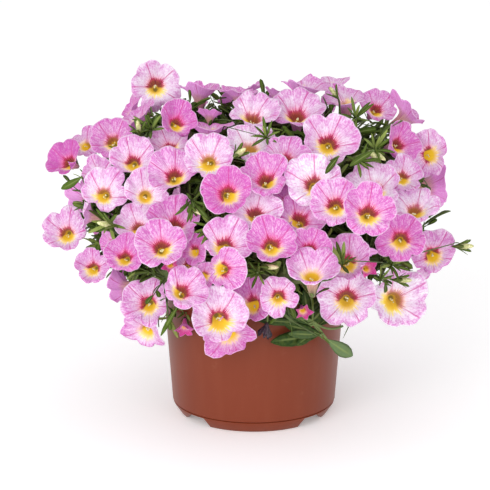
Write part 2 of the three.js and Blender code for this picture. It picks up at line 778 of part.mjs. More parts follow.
function clearLeaf(leaf, branch) {
  for (const turn of LEAF_TURNS) {
    const turned = { ...leaf, direction: leaf.direction.clone().applyAxisAngle(UP, radians(turn)) };
    if (!touches(leafSolid(turned, CLEARANCE), [branch])) return leafSolid(turned);
  }
  return null;
}

function twigSolid(points, swell = 0) {
  return rod(points, TWIG.taper.map((share) => share * (TWIG.radius + swell)), STEM_SIDES);
}

const clearOfOthers = ({ branch, points }) => !touches(twigSolid(points, CLEARANCE), [branch]);

// Leafy shoots that show in the front, on the same drawing plane as the blooms: [across, up,
// further out of the dome, leaves, leaf length]. The last one is the longest on the right.
const FRONT_SHOOTS = [
  [66, 100, 12, 5, 15], [-72, 191, -12, 4, 16], [6, 186, -10, 4, 15], [70, 198, -12, 4, 17],
  [87, 183, -12, 4, 17], [-127, 153, -14, 3, 16], [-31, 123, -10, 4, 15], [73, 169, -12, 3, 17],
  [-101, 124, -10, 4, 15], [-59, 58, 20, 4, 17], [90, 85, -8, 4, 17], [-44, 136, -8, 4, 17],
  [-72, 92, -10, 4, 15], [8, 95, -10, 4, 16], [-33, 76, -12, 4, 16], [25, 56, 29, 4, 25],
  [44, 48, 18, 3, 25], [60, 44, 2, 2, 30], [138, 112, 6, 2, 12],
];

// Where a shoot's tip may stand and how its stem may bow, the plainest first.
const SHOOT_WAYS = [0, 7, -7, 13, -13].flatMap((deeper) => [0, 9, -9, 18].flatMap(
  (lift) => [0, 8, -8, 16, -16].map((aside) => ({ deeper, bow: vec(aside, 0, lift) }))));
const SHOOT_BRANCHES = 3;
const SHOOT_BEND = 0.55;

// Each shoot grows from the nearest branch that has a clear way to its place.
function growShoots(branches) {
  for (const [x, up, further, leaves, length] of FRONT_SHOOTS) {
    const { place, towards } = placeOnSight(x, up);
    const tip = along(place, towards, further);
    const reach = (branch) => nearestOnHeart(branch, tip).distance;
    const near = branches.slice().sort((a, b) => reach(a) - reach(b)).slice(0, SHOOT_BRANCHES);
    const ways = near.flatMap((branch) => SHOOT_WAYS.map(({ deeper, bow }) => {
      const end = along(tip, towards, -deeper);
      const { point } = nearestOnHeart(branch, end);
      return { branch, points: [point, point.clone().lerp(end, SHOOT_BEND).add(bow), end] };
    }));
    const way = ways.find(clearOfOthers);
    if (way) way.branch.shoots.push({ points: way.points, leaves, length });
  }
}

// Twigs out of a branch's heart by the golden angle, each as far as it stays clear.
function growTwigs(branch, draw) {
  const { heart, axis } = branch;
  const [side, other] = across(axis);
  const grown = [];
  for (let k = 0; k < TWIG.tries && grown.length < branch.twigs; k += 1) {
    const base = heart[0].clone().lerp(heart[heart.length - 1], lerp(...TWIG.baseStretch, draw()));
    const out = side.clone().multiplyScalar(Math.cos(k * GOLDEN_ANGLE))
      .addScaledVector(other, Math.sin(k * GOLDEN_ANGLE))
      .addScaledVector(axis, lerp(...TWIG.lean, draw()))
      .addScaledVector(UP, TWIG.rise)
      .normalize();
    const points = clearTwig(branch, base, out);
    if (points) grown.push({ points, leaves: TWIG.leaves, length: LEAF.length });
  }
  return grown;
}

function clearTwig(branch, base, out) {
  let [reach] = TWIG.reach;
  while (reach < TWIG.reach[1] && domeShare(along(base, out, reach)) < TWIG.domeShare) {
    reach += TWIG.reachStep;
  }
  const twigs = TWIG.shorter.map((share) => {
    const tip = along(base, out, reach * share);
    return [base, base.clone().lerp(tip, 0.5).addScaledVector(UP, TWIG.bend), tip];
  });
  return twigs.find((points) => {
    const { distance, thickness } = nearestOnHeart(branch, points[2]);
    return distance - thickness > TWIG.least && clearOfOthers({ branch, points });
  });
}

// The branch with its shoots, twigs and leaves as one body. A piece that would leave it open or
// loose is left off.
function buildBranch(branch, draw) {
  let { solid } = branch;
  const fuse = (piece) => {
    const next = solid.add(piece);
    if (!joinedMesh(next).closed || next.decompose().length > 1) return false;
    solid = next;
    return true;
  };
  for (const twig of branch.shoots.concat(growTwigs(branch, draw))) {
    const leaves = fuse(twigSolid(twig.points)) ? twigLeaves(twig, draw) : [];
    leaves.map((leaf) => clearLeaf(leaf, branch)).filter(Boolean).forEach(fuse);
  }
  unstand(branch);
  stand(solid, branch);
  return solid;
}

// ---------------------------------------------------------------- assembly

const FINISH = {
  pot: { color: 0x8a4f36, roughness: 0.42 },
  soil: { color: 0x2b211b, roughness: 0.95 },
  petal: { color: 0xd890cf, roughness: 0.6 },
  leaf: { color: 0x4f7a36, roughness: 0.6 },
};
const DRAW_SEED = 5;

const plant = new THREE.Group();

function addPart(name, solid, finish) {
  const mesh = new THREE.Mesh(geometryFromSolid(solid), new THREE.MeshStandardMaterial(finish));
  mesh.name = name;
  plant.add(mesh);
}

const pot = makePot();
const branches = makeBranches();
const soil = holeSoil(fillPot(), branches);
stand(pot, 'pot');
stand(soil, 'soil');
branches.forEach((branch) => stand(branch.solid, branch));

const draw = seededDraw(DRAW_SEED);
const blooms = [
  ...settleBlooms(frontBlooms().sort((a, b) => a.tier - b.tier), draw, PUSH.front),
  ...settleBlooms(backBlooms(), draw, PUSH.back),
];

addPart('pot', pot, FINISH.pot);
addPart('soil', soil, FINISH.soil);
for (const spray of groupBlooms(branches, blooms)) {
  addPart(`spray_${spray.label}`, buildSpray(spray, branches), FINISH.petal);
}
growShoots(branches);
for (const branch of branches) {
  addPart(`branch_${branch.label}`, buildBranch(branch, draw), FINISH.leaf);
}

export default plant;
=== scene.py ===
# %% [markdown]
# # A calibrachoa in its pot
# The plant is a low dome of pink funnel flowers over dark leaves, in a brown plastic pot. The CAD
# frame already has every bloom, branch and large leaf in its place, as plain faceted solids.
# Here each of them gets its real surface: ruffled petals, folded leaves, sepals, and a finish.

# %% Load the frame
import math

import bmesh
import bpy
import numpy as np
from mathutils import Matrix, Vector


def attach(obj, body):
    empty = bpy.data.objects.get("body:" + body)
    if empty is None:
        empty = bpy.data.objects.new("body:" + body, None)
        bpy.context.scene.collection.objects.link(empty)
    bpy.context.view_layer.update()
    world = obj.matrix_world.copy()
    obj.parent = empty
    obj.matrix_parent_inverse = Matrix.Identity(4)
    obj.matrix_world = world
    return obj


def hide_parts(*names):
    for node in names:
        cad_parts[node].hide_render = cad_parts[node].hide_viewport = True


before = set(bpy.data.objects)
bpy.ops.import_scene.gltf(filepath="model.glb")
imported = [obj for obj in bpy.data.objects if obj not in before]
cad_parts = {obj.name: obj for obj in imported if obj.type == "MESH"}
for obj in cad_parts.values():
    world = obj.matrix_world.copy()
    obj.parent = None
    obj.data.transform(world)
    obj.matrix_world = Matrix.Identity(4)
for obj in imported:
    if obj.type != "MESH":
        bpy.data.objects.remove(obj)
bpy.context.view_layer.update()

MM = 0.001
SPRAYS = sorted(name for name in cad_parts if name.startswith("spray_"))
BRANCHES = sorted(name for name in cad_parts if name.startswith("branch_"))

# %% [markdown]
# ## Meshes from arrays
# Petals, leaves, stems and the pot are all rings of points in rows, closed by a point at both
# ends. One list of faces fits them all, and a copy of it with other point numbers fits each
# further bloom or leaf. So a thousand leaves are worked out as one array.

# %% Rings, rows and pieces


def unit(vectors):
    """Each vector divided by its own length."""
    return vectors / np.linalg.norm(vectors, axis=-1, keepdims=True)


def square_to(forward, vectors):
    """What is left of each vector without its part along forward, at length one."""
    return unit(vectors - (vectors * forward).sum(-1, keepdims=True) * forward)


def even_turns(columns):
    """So many even turns round a circle, one a row."""
    return (2 * math.pi / columns * np.arange(columns))[:, None]


def on_circle(turn, side, other):
    """The directions at each turn from side towards other."""
    return np.cos(turn) * side + np.sin(turn) * other


def ring_faces(rows, columns):
    """Quads between neighbouring rows of a closed ring grid, and a fan of triangles to the
    pole points, which are numbered after the grid."""
    row, column = np.meshgrid(np.arange(rows - 1), np.arange(columns), indexing="ij")
    here = row * columns + column
    beside = row * columns + (column + 1) % columns
    quads = np.stack([here, beside, beside + columns, here + columns], -1).reshape(-1, 4)
    first = np.arange(columns)
    after = (first + 1) % columns
    last = (rows - 1) * columns
    poles = rows * columns
    starts = np.stack([np.full(columns, poles), after, first], -1)
    ends = np.stack([np.full(columns, poles + 1), last + first, last + after], -1)
    return quads, np.concatenate([starts, ends])


def many(grid, start, end):
    """Faces and points of many closed ring grids: grid is (copies, rows, columns, 3)."""
    copies, rows, columns, _ = grid.shape
    quads, fans = ring_faces(rows, columns)
    size = rows * columns + 2
    shift = size * np.arange(copies)[:, None, None]
    points = np.concatenate([grid.reshape(copies, -1, 3), start[:, None], end[:, None]], 1)
    faces = (quads + shift).reshape(-1, 4).tolist() + (fans + shift).reshape(-1, 3).tolist()
    return points.reshape(-1, 3), faces


def spread(values, start, end):
    """Marks for the points of many(): values is (copies, rows, columns, n)."""
    copies = len(values)
    flat = values.reshape(copies, -1, values.shape[-1])
    return np.concatenate([flat, start[:, None], end[:, None]], 1).reshape(-1, values.shape[-1])


def marks_of(shape, *values):
    """Values spread over a grid's shape, as the numbers of one mark."""
    return np.stack([np.broadcast_to(value, shape) for value in values], -1)


def add_object(name, data):
    """A new object in the scene that shows a mesh, lamp or camera."""
    made = bpy.data.objects.new(name, data)
    bpy.context.scene.collection.objects.link(made)
    return made


def dress(mesh, material):
    """A smooth piece of a mesh, riding on the one body."""
    mesh.polygons.foreach_set("use_smooth", np.ones(len(mesh.polygons), bool))
    mesh.materials.append(material)
    piece = add_object(mesh.name, mesh)
    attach(piece, "root")
    print(mesh.name, "faces", len(mesh.polygons))
    return piece


def make_piece(name, slot, material, points, faces, marks=None, replaces=()):
    """A piece of points and faces, with its marks as point attributes."""
    mesh = bpy.data.meshes.new(name)
    mesh.from_pydata(points.tolist(), [], faces)
    for mark, values in (marks or {}).items():
        data = mesh.attributes.new(mark, "FLOAT_VECTOR", "POINT").data
        data.foreach_set("vector", values.ravel())
    piece = dress(mesh, material)
    if replaces:
        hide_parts(*replaces)
    return piece


# %% [markdown]
# ## Shader maths as expressions
# A material is a sum: base colour here, more red along a vein, less gloss in a hollow. Written
# as Python expressions it can be read like one. A small class wraps a socket, and an expression
# on it adds the Math nodes.

# %% A value in a node tree


class Value:
    """A socket in a material's node tree that can be added, multiplied and so on."""

    def __init__(self, finish, socket):
        self.finish = finish
        self.socket = socket

    def maths(self, operation, *values, clamp=False):
        settings = {"operation": operation, "use_clamp": clamp}
        return self.finish.node("ShaderNodeMath", settings, dict(enumerate(values)))

    def __add__(self, other):
        return self.maths("ADD", self, other)

    __radd__ = __add__

    def __mul__(self, other):
        return self.maths("MULTIPLY", self, other)

    __rmul__ = __mul__

    def __sub__(self, other):
        return self.maths("SUBTRACT", self, other)

    def __rsub__(self, other):
        return self.maths("SUBTRACT", other, self)

    def __abs__(self):
        return self.maths("ABSOLUTE", self)

    def most(self, other):
        return self.maths("MAXIMUM", self, other)

    def step(self, zero, one):
        """0 where the value is at zero, 1 where it is at one, and a soft step between."""
        settings = {"interpolation_type": "SMOOTHSTEP"}
        return self.finish.node("ShaderNodeMapRange", settings, {0: self, 1: zero, 2: one})


class Finish:
    """A material being made: node() adds any node, mark() reads a point attribute."""

    def __init__(self, name, settings):
        self.material = bpy.data.materials.new(name)
        self.material.use_nodes = True
        self.tree = self.material.node_tree
        self.surface = self.tree.nodes["Principled BSDF"]
        for socket, value in settings.items():
            self.surface.inputs[socket].default_value = value

    def node(self, kind, settings, values, output=0):
        made = self.tree.nodes.new(kind)
        for name, value in settings.items():
            setattr(made, name, value)
        for key, value in values.items():
            self.feed(made.inputs[key], value)
        return Value(self, made.outputs[output])

    def feed(self, socket, value):
        if isinstance(value, Value):
            self.tree.links.new(value.socket, socket)
        elif socket.type == "RGBA":
            socket.default_value = (*value, 1)
        else:
            socket.default_value = value

    def set(self, socket, value):
        self.feed(self.surface.inputs[socket], value)

    def mark(self, name):
        """The three numbers of a vector attribute."""
        vector = self.node("ShaderNodeAttribute", {"attribute_name": name}, {}, "Vector")
        return [self.node("ShaderNodeSeparateXYZ", {}, {0: vector}, n) for n in range(3)]

    def place(self):
        return self.node("ShaderNodeTexCoord", {}, {}, "Object")

    def vector(self, x, y, z):
        return self.node("ShaderNodeCombineXYZ", {}, {0: x, 1: y, 2: z})

    def noise(self, vector, scale, detail=2.0, roughness=0.5):
        values = {"Vector": vector, "Scale": scale, "Detail": detail, "Roughness": roughness}
        return self.node("ShaderNodeTexNoise", {}, values)

    def mix(self, share, low, high):
        """Colour low where share is 0 and high where it is 1."""
        return self.node("ShaderNodeMix", {"data_type": "RGBA"}, {0: share, 6: low, 7: high}, 2)

    def layers(self, colour, *over):
        """A colour with others laid over it in turn, each as (share, colour)."""
        for share, upper in over:
            colour = self.mix(share, colour, upper)
        return colour

    def bump(self, height, strength, distance):
        values = {"Height": height, "Strength": strength, "Distance": distance}
        self.set("Normal", self.node("ShaderNodeBump", {}, values))


# %% [markdown]
# ## Reading the CAD solids
# A node arrives as loose triangles. Merged, its points tell what they belong to: the bottom of
# a bloom's throat has five neighbours at one distance, which form the throat's ring, and more
# where a stalk passes through it. A leaf's tip has four neighbours, two of which lie one above
# the other across the blade's thickness.

# %% Merge a node's triangles


def welded(node):
    """A node's places, and its triangles as numbers of places, with equal places merged."""
    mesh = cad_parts[node].data
    corners = np.empty(3 * len(mesh.vertices), np.float32)
    mesh.vertices.foreach_get("co", corners)
    numbers = np.empty(3 * len(mesh.polygons), np.int32)
    mesh.polygons.foreach_get("vertices", numbers)
    places, merged = np.unique(corners.reshape(-1, 3).astype(float).round(7), axis=0, return_inverse=True)
    return places, merged.reshape(-1)[numbers].reshape(-1, 3)


def edges_of(triangles):
    """Every edge in both directions, sorted by the place that it starts from."""
    loops = [triangles[:, [0, 1]], triangles[:, [1, 2]], triangles[:, [2, 0]]]
    return np.unique(np.concatenate(loops), axis=0)


def left_over(places, triangles, taken, near=0.05 * MM):
    """The triangles that touch none of the taken places."""
    gaps = np.linalg.norm(places[:, None] - taken[None], axis=-1)
    used = gaps.min(1) < near
    return triangles[~used[triangles].any(1)]


# %% Find the blooms

THROAT = (0.24, 0.42)
THROAT_BOTTOM = 0.95
NECK = (0.3, 0.6)
NOTCH = (0.85, 0.05)
SHOULDERS = (19.2, 52.8)
SAME = 0.005 * MM


def throat_ring(places, apex, around):
    """The ring above a place. That is its neighbours, if they are five. Where a stalk passes
    through the throat they are more, and then it is all places as far off as the farthest."""
    if len(around) == 5:
        return places[around]
    away = np.linalg.norm(places - places[apex], axis=1)
    return places[np.abs(away - away[around].max()) < SAME]


def bloom_at(apex, ring):
    """A bloom by the bottom of its throat and the throat's ring, or None if it isn't one."""
    if len(ring) != 5:
        return None
    middle = ring.mean(0)
    radii = np.linalg.norm(ring - middle, axis=1)
    depth = np.linalg.norm(middle - apex)
    expected = (THROAT_BOTTOM - THROAT[1]) / THROAT[0]
    if np.ptp(radii) > 0.02 * radii.mean() or abs(depth / radii.mean() - expected) > 0.03:
        return None
    face = (middle - apex) / depth
    radius = radii.mean() / THROAT[0]
    side = unit(ring[0] - middle)
    return {
        "centre": middle + face * THROAT[1] * radius,
        "face": face,
        "side": side,
        "other": np.cross(face, side),
        "radius": radius,
    }


def on_bloom(bloom, turn, share, depth):
    """Places in a bloom by their turns in degrees, their radius and depth as shares."""
    angle = np.radians(turn)[:, None]
    out = np.cos(angle) * bloom["side"] + np.sin(angle) * bloom["other"]
    return bloom["centre"] + bloom["radius"] * (share * out - depth * bloom["face"])


def find_blooms(node):
    """The blooms of a spray, and the triangles of its stalks."""
    places, triangles = welded(node)
    edges = edges_of(triangles)
    valence = np.bincount(edges[:, 0])
    blooms = []
    stalks = triangles
    for apex in np.concatenate([np.flatnonzero(valence == 5), np.flatnonzero(valence > 5)]):
        around = edges[edges[:, 0] == apex, 1]
        bloom = bloom_at(places[apex], throat_ring(places, apex, around))
        if bloom is None:
            continue
        fifths = 72.0 * np.arange(5)
        solid = [
            places[apex][None],
            on_bloom(bloom, fifths, *THROAT),
            on_bloom(bloom, fifths, *NECK),
            on_bloom(bloom, fifths, *NOTCH),
            *[on_bloom(bloom, fifths + turn, 1.0, 0.0) for turn in SHOULDERS],
        ]
        stalks = left_over(places, stalks, np.concatenate(solid))
        blooms.append({**bloom, "node": node})
    return blooms, places, stalks


found = {node: find_blooms(node) for node in SPRAYS}
blooms = [bloom for node in SPRAYS for bloom in found[node][0]]
print("blooms", len(blooms))

# %% Find the leaves

BLADE = 1.0 * MM
LEAF_ARCH = 0.3 * MM
LEAF_DROOP = 0.12
LEAF_OUTLINE = [(0.4, 0.92, 0.0), (0.78, 0.8, 0.4)]


def leaf_at(tip, around):
    """A leaf by its tip and the tip's four neighbours, or None if it isn't one."""
    pairs = [(0, 1), (0, 2), (0, 3), (1, 2), (1, 3), (2, 3)]
    gaps = [np.linalg.norm(around[a] - around[b]) for a, b in pairs]
    ridge = int(np.argmin(np.abs(np.array(gaps) - BLADE)))
    if abs(gaps[ridge] - BLADE) > 0.03 * MM:
        return None
    high, low = (around[k] for k in pairs[ridge])
    edge = [around[k] for k in range(4) if k not in pairs[ridge]]
    up = unit(high - low)
    to_tip = tip - (high + low) / 2
    up = up if to_tip @ up < 0 else -up
    fall = -(to_tip @ up)
    flat = to_tip + fall * up
    length = 2 * np.linalg.norm(flat)
    if abs(fall - LEAF_ARCH - LEAF_DROOP * length) > 0.2 * MM:
        return None
    forward = unit(flat)
    return {
        "base": tip - length * forward + LEAF_DROOP * length * up,
        "forward": forward,
        "up": up,
        "length": length,
        "width": np.linalg.norm(edge[0] - edge[1]) / LEAF_OUTLINE[1][1],
        "solid": [tip, high, low, *edge],
    }


def find_leaves(node):
    """The leaves of a branch, and the triangles of its stems."""
    places, triangles = welded(node)
    edges = edges_of(triangles)
    valence = np.bincount(edges[:, 0])
    leaves = []
    stems = triangles
    for tip in np.flatnonzero(valence == 4):
        leaf = leaf_at(places[tip], places[edges[edges[:, 0] == tip, 1]])
        if leaf is None:
            continue
        side = np.cross(leaf["up"], leaf["forward"])
        near, wide, _ = LEAF_OUTLINE[0]
        middle = leaf["base"] + near * leaf["length"] * leaf["forward"]
        reach = wide * leaf["width"] / 2 * side
        leaf["solid"] += [middle + reach, middle - reach]
        stems = left_over(places, stems, np.array(leaf["solid"]))
        leaves.append(leaf)
    return leaves, places, stems


grown = {node: find_leaves(node) for node in BRANCHES}
cad_leaves = [leaf for node in BRANCHES for leaf in grown[node][0]]
print("leaves in the CAD model", len(cad_leaves))

# %% [markdown]
# ## The camera
# It stands nearly two metres away, a little above the plant, with a long lens, so the pot's foot
# shows as a flat curve. It comes early, because the marks on the petals follow how the flowers
# are seen from the front.

# %% Camera

AIM = Vector((-6.2 * MM, 0, 118 * MM))
EYE = Vector((-6.2 * MM, -1800 * MM, 637 * MM))
FRAME_WIDTH = 338 * MM

lens = bpy.data.cameras.new("camera")
lens.sensor_width = 36
lens.lens = lens.sensor_width * (EYE - AIM).length / FRAME_WIDTH
camera = add_object("camera", lens)
camera.location = EYE
camera.rotation_euler = (AIM - EYE).to_track_quat("-Z", "Y").to_euler()
bpy.context.scene.camera = camera
print("lens", round(lens.lens, 1), "mm")

# %% Where a place shows from the front

PLANE_BELOW = 111 * MM
SIGHT_EYE = np.array(EYE) * np.array([0, 1, 1])
SIGHT_AIM = np.array(AIM) * np.array([0, 1, 1])
SIGHT = unit(SIGHT_AIM - SIGHT_EYE)
PLANE_UP = np.array([0, -SIGHT[2], SIGHT[1]])


def seen_at(places):
    """Where places appear on the plane through the pot's axis that is square to the sight."""
    offset = places - SIGHT_EYE
    onto = np.linalg.norm(SIGHT_AIM - SIGHT_EYE) / (offset @ SIGHT)
    shown = SIGHT_EYE + offset * onto[..., None] - SIGHT_AIM
    return np.stack([shown[..., 0], shown @ PLANE_UP + PLANE_BELOW], -1)


def ray_through(across, up):
    """The plane's place at (across, up) in millimetres, and the ray to it from the eye."""
    plane = SIGHT_AIM + np.array([across * MM, 0, 0]) + (up * MM - PLANE_BELOW) * PLANE_UP
    return plane, plane - SIGHT_EYE


# %% [markdown]
# ## The pot
# A nursery pot is moulded in one shot: a tapered wall, a lip to lift it by, and a foot ring that
# is cut away in four places so that water can run out. It is turned from a profile here. Where
# the foot ring is cut away its lower edge is raised to the seam.

# %% Pot profile

POT_HEIGHT = 98 * MM
LIP_RADIUS = 65 * MM
LIP_BOTTOM = 86 * MM
WALL_TOP = 62.6 * MM
SEAM_RADIUS = 56.2 * MM
SEAM = 7.2 * MM
STEP = 0.5 * MM
GROOVE = 0.45 * MM
FOOT_RADIUS = 52 * MM
FOOT_WIDTH = 3.5 * MM
WALL = 1.5 * MM
FLOOR_TOP = 9.5 * MM
BEVEL = 0.8 * MM


def foot_cut(turn):
    """How far the foot ring is cut away at each turn from the front: 0 in a foot, 1 in a gap,
    with steep ends at the front and back feet and long slanted ends at the side feet."""
    quarter = np.abs((turn + 90) % 180 - 90)
    return np.interp(quarter, [35.6, 38.3, 50, 65], [0, 1, 1, 0])


def pot_rows():
    """The profile as (radius, height), from under the floor over the lip to the floor inside.
    The two foot rows also have the place that they rise to in a gap."""
    wall = [(r, z) for r, z in zip(
        np.linspace(SEAM_RADIUS + STEP, WALL_TOP, 9), np.linspace(SEAM + 3 * GROOVE, LIP_BOTTOM, 9))]
    inner = SEAM_RADIUS - FOOT_WIDTH
    return [
        ((0.4 * inner, SEAM), None),
        ((inner - BEVEL, SEAM), None),
        ((inner, SEAM - STEP / 2), (inner, SEAM)),
        ((FOOT_RADIUS - FOOT_WIDTH, STEP), (inner + STEP, SEAM)),
        ((FOOT_RADIUS - FOOT_WIDTH + STEP, 0), (inner + 2 * STEP, SEAM)),
        ((FOOT_RADIUS - STEP, 0), (SEAM_RADIUS - STEP, SEAM)),
        ((FOOT_RADIUS, STEP), (SEAM_RADIUS, SEAM)),
        ((SEAM_RADIUS, SEAM - STEP), (SEAM_RADIUS + STEP / 2, SEAM)),
        ((SEAM_RADIUS + STEP / 2, SEAM + GROOVE), None),
        ((SEAM_RADIUS - GROOVE, SEAM + 1.6 * GROOVE), None),
        *[(point, None) for point in wall],
        ((WALL_TOP + STEP, LIP_BOTTOM + STEP / 2), None),
        ((LIP_RADIUS - STEP, LIP_BOTTOM + STEP), None),
        ((LIP_RADIUS, LIP_BOTTOM + 2 * BEVEL), None),
        ((LIP_RADIUS, POT_HEIGHT - BEVEL), None),
        ((LIP_RADIUS - 0.3 * BEVEL, POT_HEIGHT - 0.3 * BEVEL), None),
        ((LIP_RADIUS - BEVEL, POT_HEIGHT), None),
        ((WALL_TOP + STEP, POT_HEIGHT), None),
        ((WALL_TOP, POT_HEIGHT - STEP), None),
        ((WALL_TOP - WALL, LIP_BOTTOM + BEVEL), None),
        ((SEAM_RADIUS - WALL, FLOOR_TOP + BEVEL), None),
        ((SEAM_RADIUS - WALL - BEVEL, FLOOR_TOP), None),
        ((0.4 * inner, FLOOR_TOP), None),
    ]


def turned(rows, turns):
    """Rows of (radius, height) carried round the axis at the given turns in degrees."""
    angle = np.radians(turns)
    around = np.stack([np.sin(angle), -np.cos(angle)], -1)
    grid = np.empty((1, len(rows), len(turns), 3))
    for number, (foot, raised) in enumerate(rows):
        cut = foot_cut(turns)[:, None] if raised else 0.0
        place = np.array(foot) * (1 - cut) + np.array(raised or foot) * cut
        place = np.broadcast_to(place, (len(turns), 2))
        grid[0, number, :, :2] = around * place[:, :1]
        grid[0, number, :, 2] = place[:, 1]
    return grid


EDGE_TURNS = [35.6, 36.9, 38.3, 50.0, 65.0]
quarter = np.unique(np.concatenate([np.arange(0, 90.1, 3.0), EDGE_TURNS]))
half = np.unique(np.concatenate([quarter, 180 - quarter]))
turns = np.unique(np.concatenate([half, (360 - half) % 360]))
pot_points, pot_faces = many(
    turned(pot_rows(), turns), np.array([[0, 0, SEAM]]), np.array([[0, 0, FLOOR_TOP]]))

# %% Pot finish

POT_BROWN = (0.180, 0.032, 0.0105)
POT_WORN = (0.235, 0.056, 0.025)
POT_DUST = (0.30, 0.12, 0.07)


def pot_finish():
    """Moulded brown plastic: nearly even, with faint flow streaks up the wall, dusty specks
    and a satin surface that is a little rougher where it has been handled."""
    finish = Finish("pot_plastic", {"IOR": 1.46, "Specular IOR Level": 0.3})
    place = finish.place()
    x, y, z = (finish.node("ShaderNodeSeparateXYZ", {}, {0: place}, n) for n in range(3))
    streaks = finish.noise(finish.vector(x * 40, y * 40, z * 6), 2.0, 3.0)
    grain = finish.noise(place, 1400.0, 2.0)
    dust = finish.noise(place, 90.0, 4.0, 0.65).step(0.6, 0.78)
    worn = streaks.step(0.35, 0.75) * 0.22
    finish.set("Base Color", finish.layers(POT_BROWN, (worn, POT_WORN), (dust * 0.18, POT_DUST)))
    finish.set("Roughness", 0.34 + 0.10 * streaks + 0.15 * dust)
    finish.bump(grain * 0.4 + streaks * 0.6, 0.25, 0.15 * MM)
    return finish.material


pot = make_piece("pot_shell", "pot", pot_finish(), pot_points, pot_faces, replaces=["pot"])
pot.data.set_sharp_from_angle(angle=math.radians(32))

# %% [markdown]
# ## Drain holes
# Six round holes in the floor let the water out. They are cut with one boolean, and the result
# is kept as the pot's own mesh.

# %% Cut the drain holes

DRAIN_RADIUS = 4.5 * MM
DRAIN_RING = 34 * MM


def drain_pegs():
    """Six upright pegs with 24 sides, in one mesh, a little longer than the floor is thick."""
    angle = np.radians(60.0 * np.arange(6))
    middle = DRAIN_RING * np.stack([np.sin(angle), -np.cos(angle)], -1)
    round_angle = np.radians(15.0 * np.arange(24))
    ring = DRAIN_RADIUS * np.stack([np.cos(round_angle), np.sin(round_angle)], -1)
    grid = np.zeros((6, 2, 24, 3))
    grid[..., :2] = middle[:, None, None] + ring
    grid[:, 0, :, 2] = SEAM - MM
    grid[:, 1, :, 2] = FLOOR_TOP + MM
    return many(grid, grid[:, 0].mean(1), grid[:, 1].mean(1))


peg_mesh = bpy.data.meshes.new("pegs")
peg_points, peg_faces = drain_pegs()
peg_mesh.from_pydata(peg_points.tolist(), [], peg_faces)
pegs = add_object("pegs", peg_mesh)
cut = pot.modifiers.new("drains", "BOOLEAN")
cut.operation = "DIFFERENCE"
cut.object = pegs
bpy.context.view_layer.update()
with_holes = bpy.data.meshes.new_from_object(pot.evaluated_get(bpy.context.evaluated_depsgraph_get()))
pot.modifiers.clear()
pot.data = with_holes
bpy.data.objects.remove(pegs)
print("pot faces", len(pot.data.polygons))

# %% [markdown]
# ## The soil
# Dark potting mix fills the pot to a finger's width below the lip. Its top is a disc whose
# height falls slowly to the edge, with a fine random crumb.

# %% Soil

SOIL_TOP = 87 * MM
SOIL_EDGE = 84 * MM
SOIL_RADIUS = 60.2 * MM
SOIL_BOTTOM = 9.9 * MM
SOIL_CRUMB = 0.55 * MM
SOIL_FOOT = (55.0 * MM, 54.0 * MM)


def soil_grid(columns=96):
    """Rings from the middle of the top out to the wall and down to the floor. The top's height
    is a slow fall to the edge and a random crumb."""
    draw = np.random.default_rng(3)
    shares = np.linspace(0.03, 1, 34)
    angle = np.radians(360 / columns * np.arange(columns))
    around = np.stack([np.cos(angle), np.sin(angle)], -1)
    top = np.empty((len(shares), columns, 3))
    top[..., :2] = SOIL_RADIUS * shares[:, None, None] * around
    top[..., 2] = SOIL_TOP - (SOIL_TOP - SOIL_EDGE) * shares[:, None] ** 4
    top[..., 2] += draw.normal(0, SOIL_CRUMB, top.shape[:2])
    base = np.empty((2, columns, 3))
    for row, (radius, height) in enumerate(zip(SOIL_FOOT, (SOIL_BOTTOM + MM, SOIL_BOTTOM))):
        base[row, :, :2] = radius * around
        base[row, :, 2] = height
    return np.concatenate([top, base])[None]


PEAT = (0.012, 0.008, 0.006)
PEAT_BROWN = (0.075, 0.045, 0.03)
PEAT_FIBRE = (0.16, 0.11, 0.07)


def soil_finish():
    """Nearly black peat with brown fibres and a few pale crumbs."""
    finish = Finish("potting_soil", {"Roughness": 0.95})
    place = finish.place()
    crumbs = finish.noise(place, 260.0, 5.0, 0.7)
    fibres = finish.noise(place, 900.0, 2.0).step(0.55, 0.8)
    finish.set("Base Color", finish.layers(
        PEAT, (crumbs.step(0.35, 0.7), PEAT_BROWN), (fibres * 0.4, PEAT_FIBRE)))
    finish.bump(crumbs, 0.8, 1.5 * MM)
    return finish.material


soil_points, soil_faces = many(
    soil_grid()[:, ::-1], np.array([[0, 0, SOIL_BOTTOM]]), np.array([[0, 0, SOIL_TOP]]))
make_piece("soil_fill", "soil", soil_finish(), soil_points, soil_faces, replaces=["soil"])

# %% [markdown]
# ## Petals
# A calibrachoa flower is one piece: a narrow tube that opens into a round limb of five fused
# lobes. So one surface makes it, a ring grid that starts at the bottom of the throat, climbs to
# the rim, turns over it and runs down the outside of the tube. Each row is a share of the rim's
# radius and a depth behind the rim.

# %% Petal rows

LIMB_POWER = 1.25
PETAL = 0.022
INNER_TUBE = [(0.04, 0.93), (0.09, 0.89), (0.13, 0.79), (0.165, 0.66), (0.20, 0.55), (0.235, 0.47)]
INNER_LIMB = [0.28, 0.34, 0.43, 0.54, 0.66, 0.78, 0.89, 0.96, 1.0]
OUTER_LIMB = [0.995, 0.92, 0.75, 0.54, 0.38]
OUTER_TUBE = [(0.31, 0.46), (0.25, 0.62), (0.20, 0.86), (0.16, 1.14), (0.11, 1.46)]
LOBE_STEPS = [0, 4, 9, 16, 25, 36, 47, 56, 63, 68]
TUBE_END = 1.46


def limb_depth(share):
    """The limb's depth behind the rim: it falls from the rim, and steeper near the throat."""
    slope = (1 - share) / (1 - THROAT[0])
    return THROAT[1] * slope ** LIMB_POWER


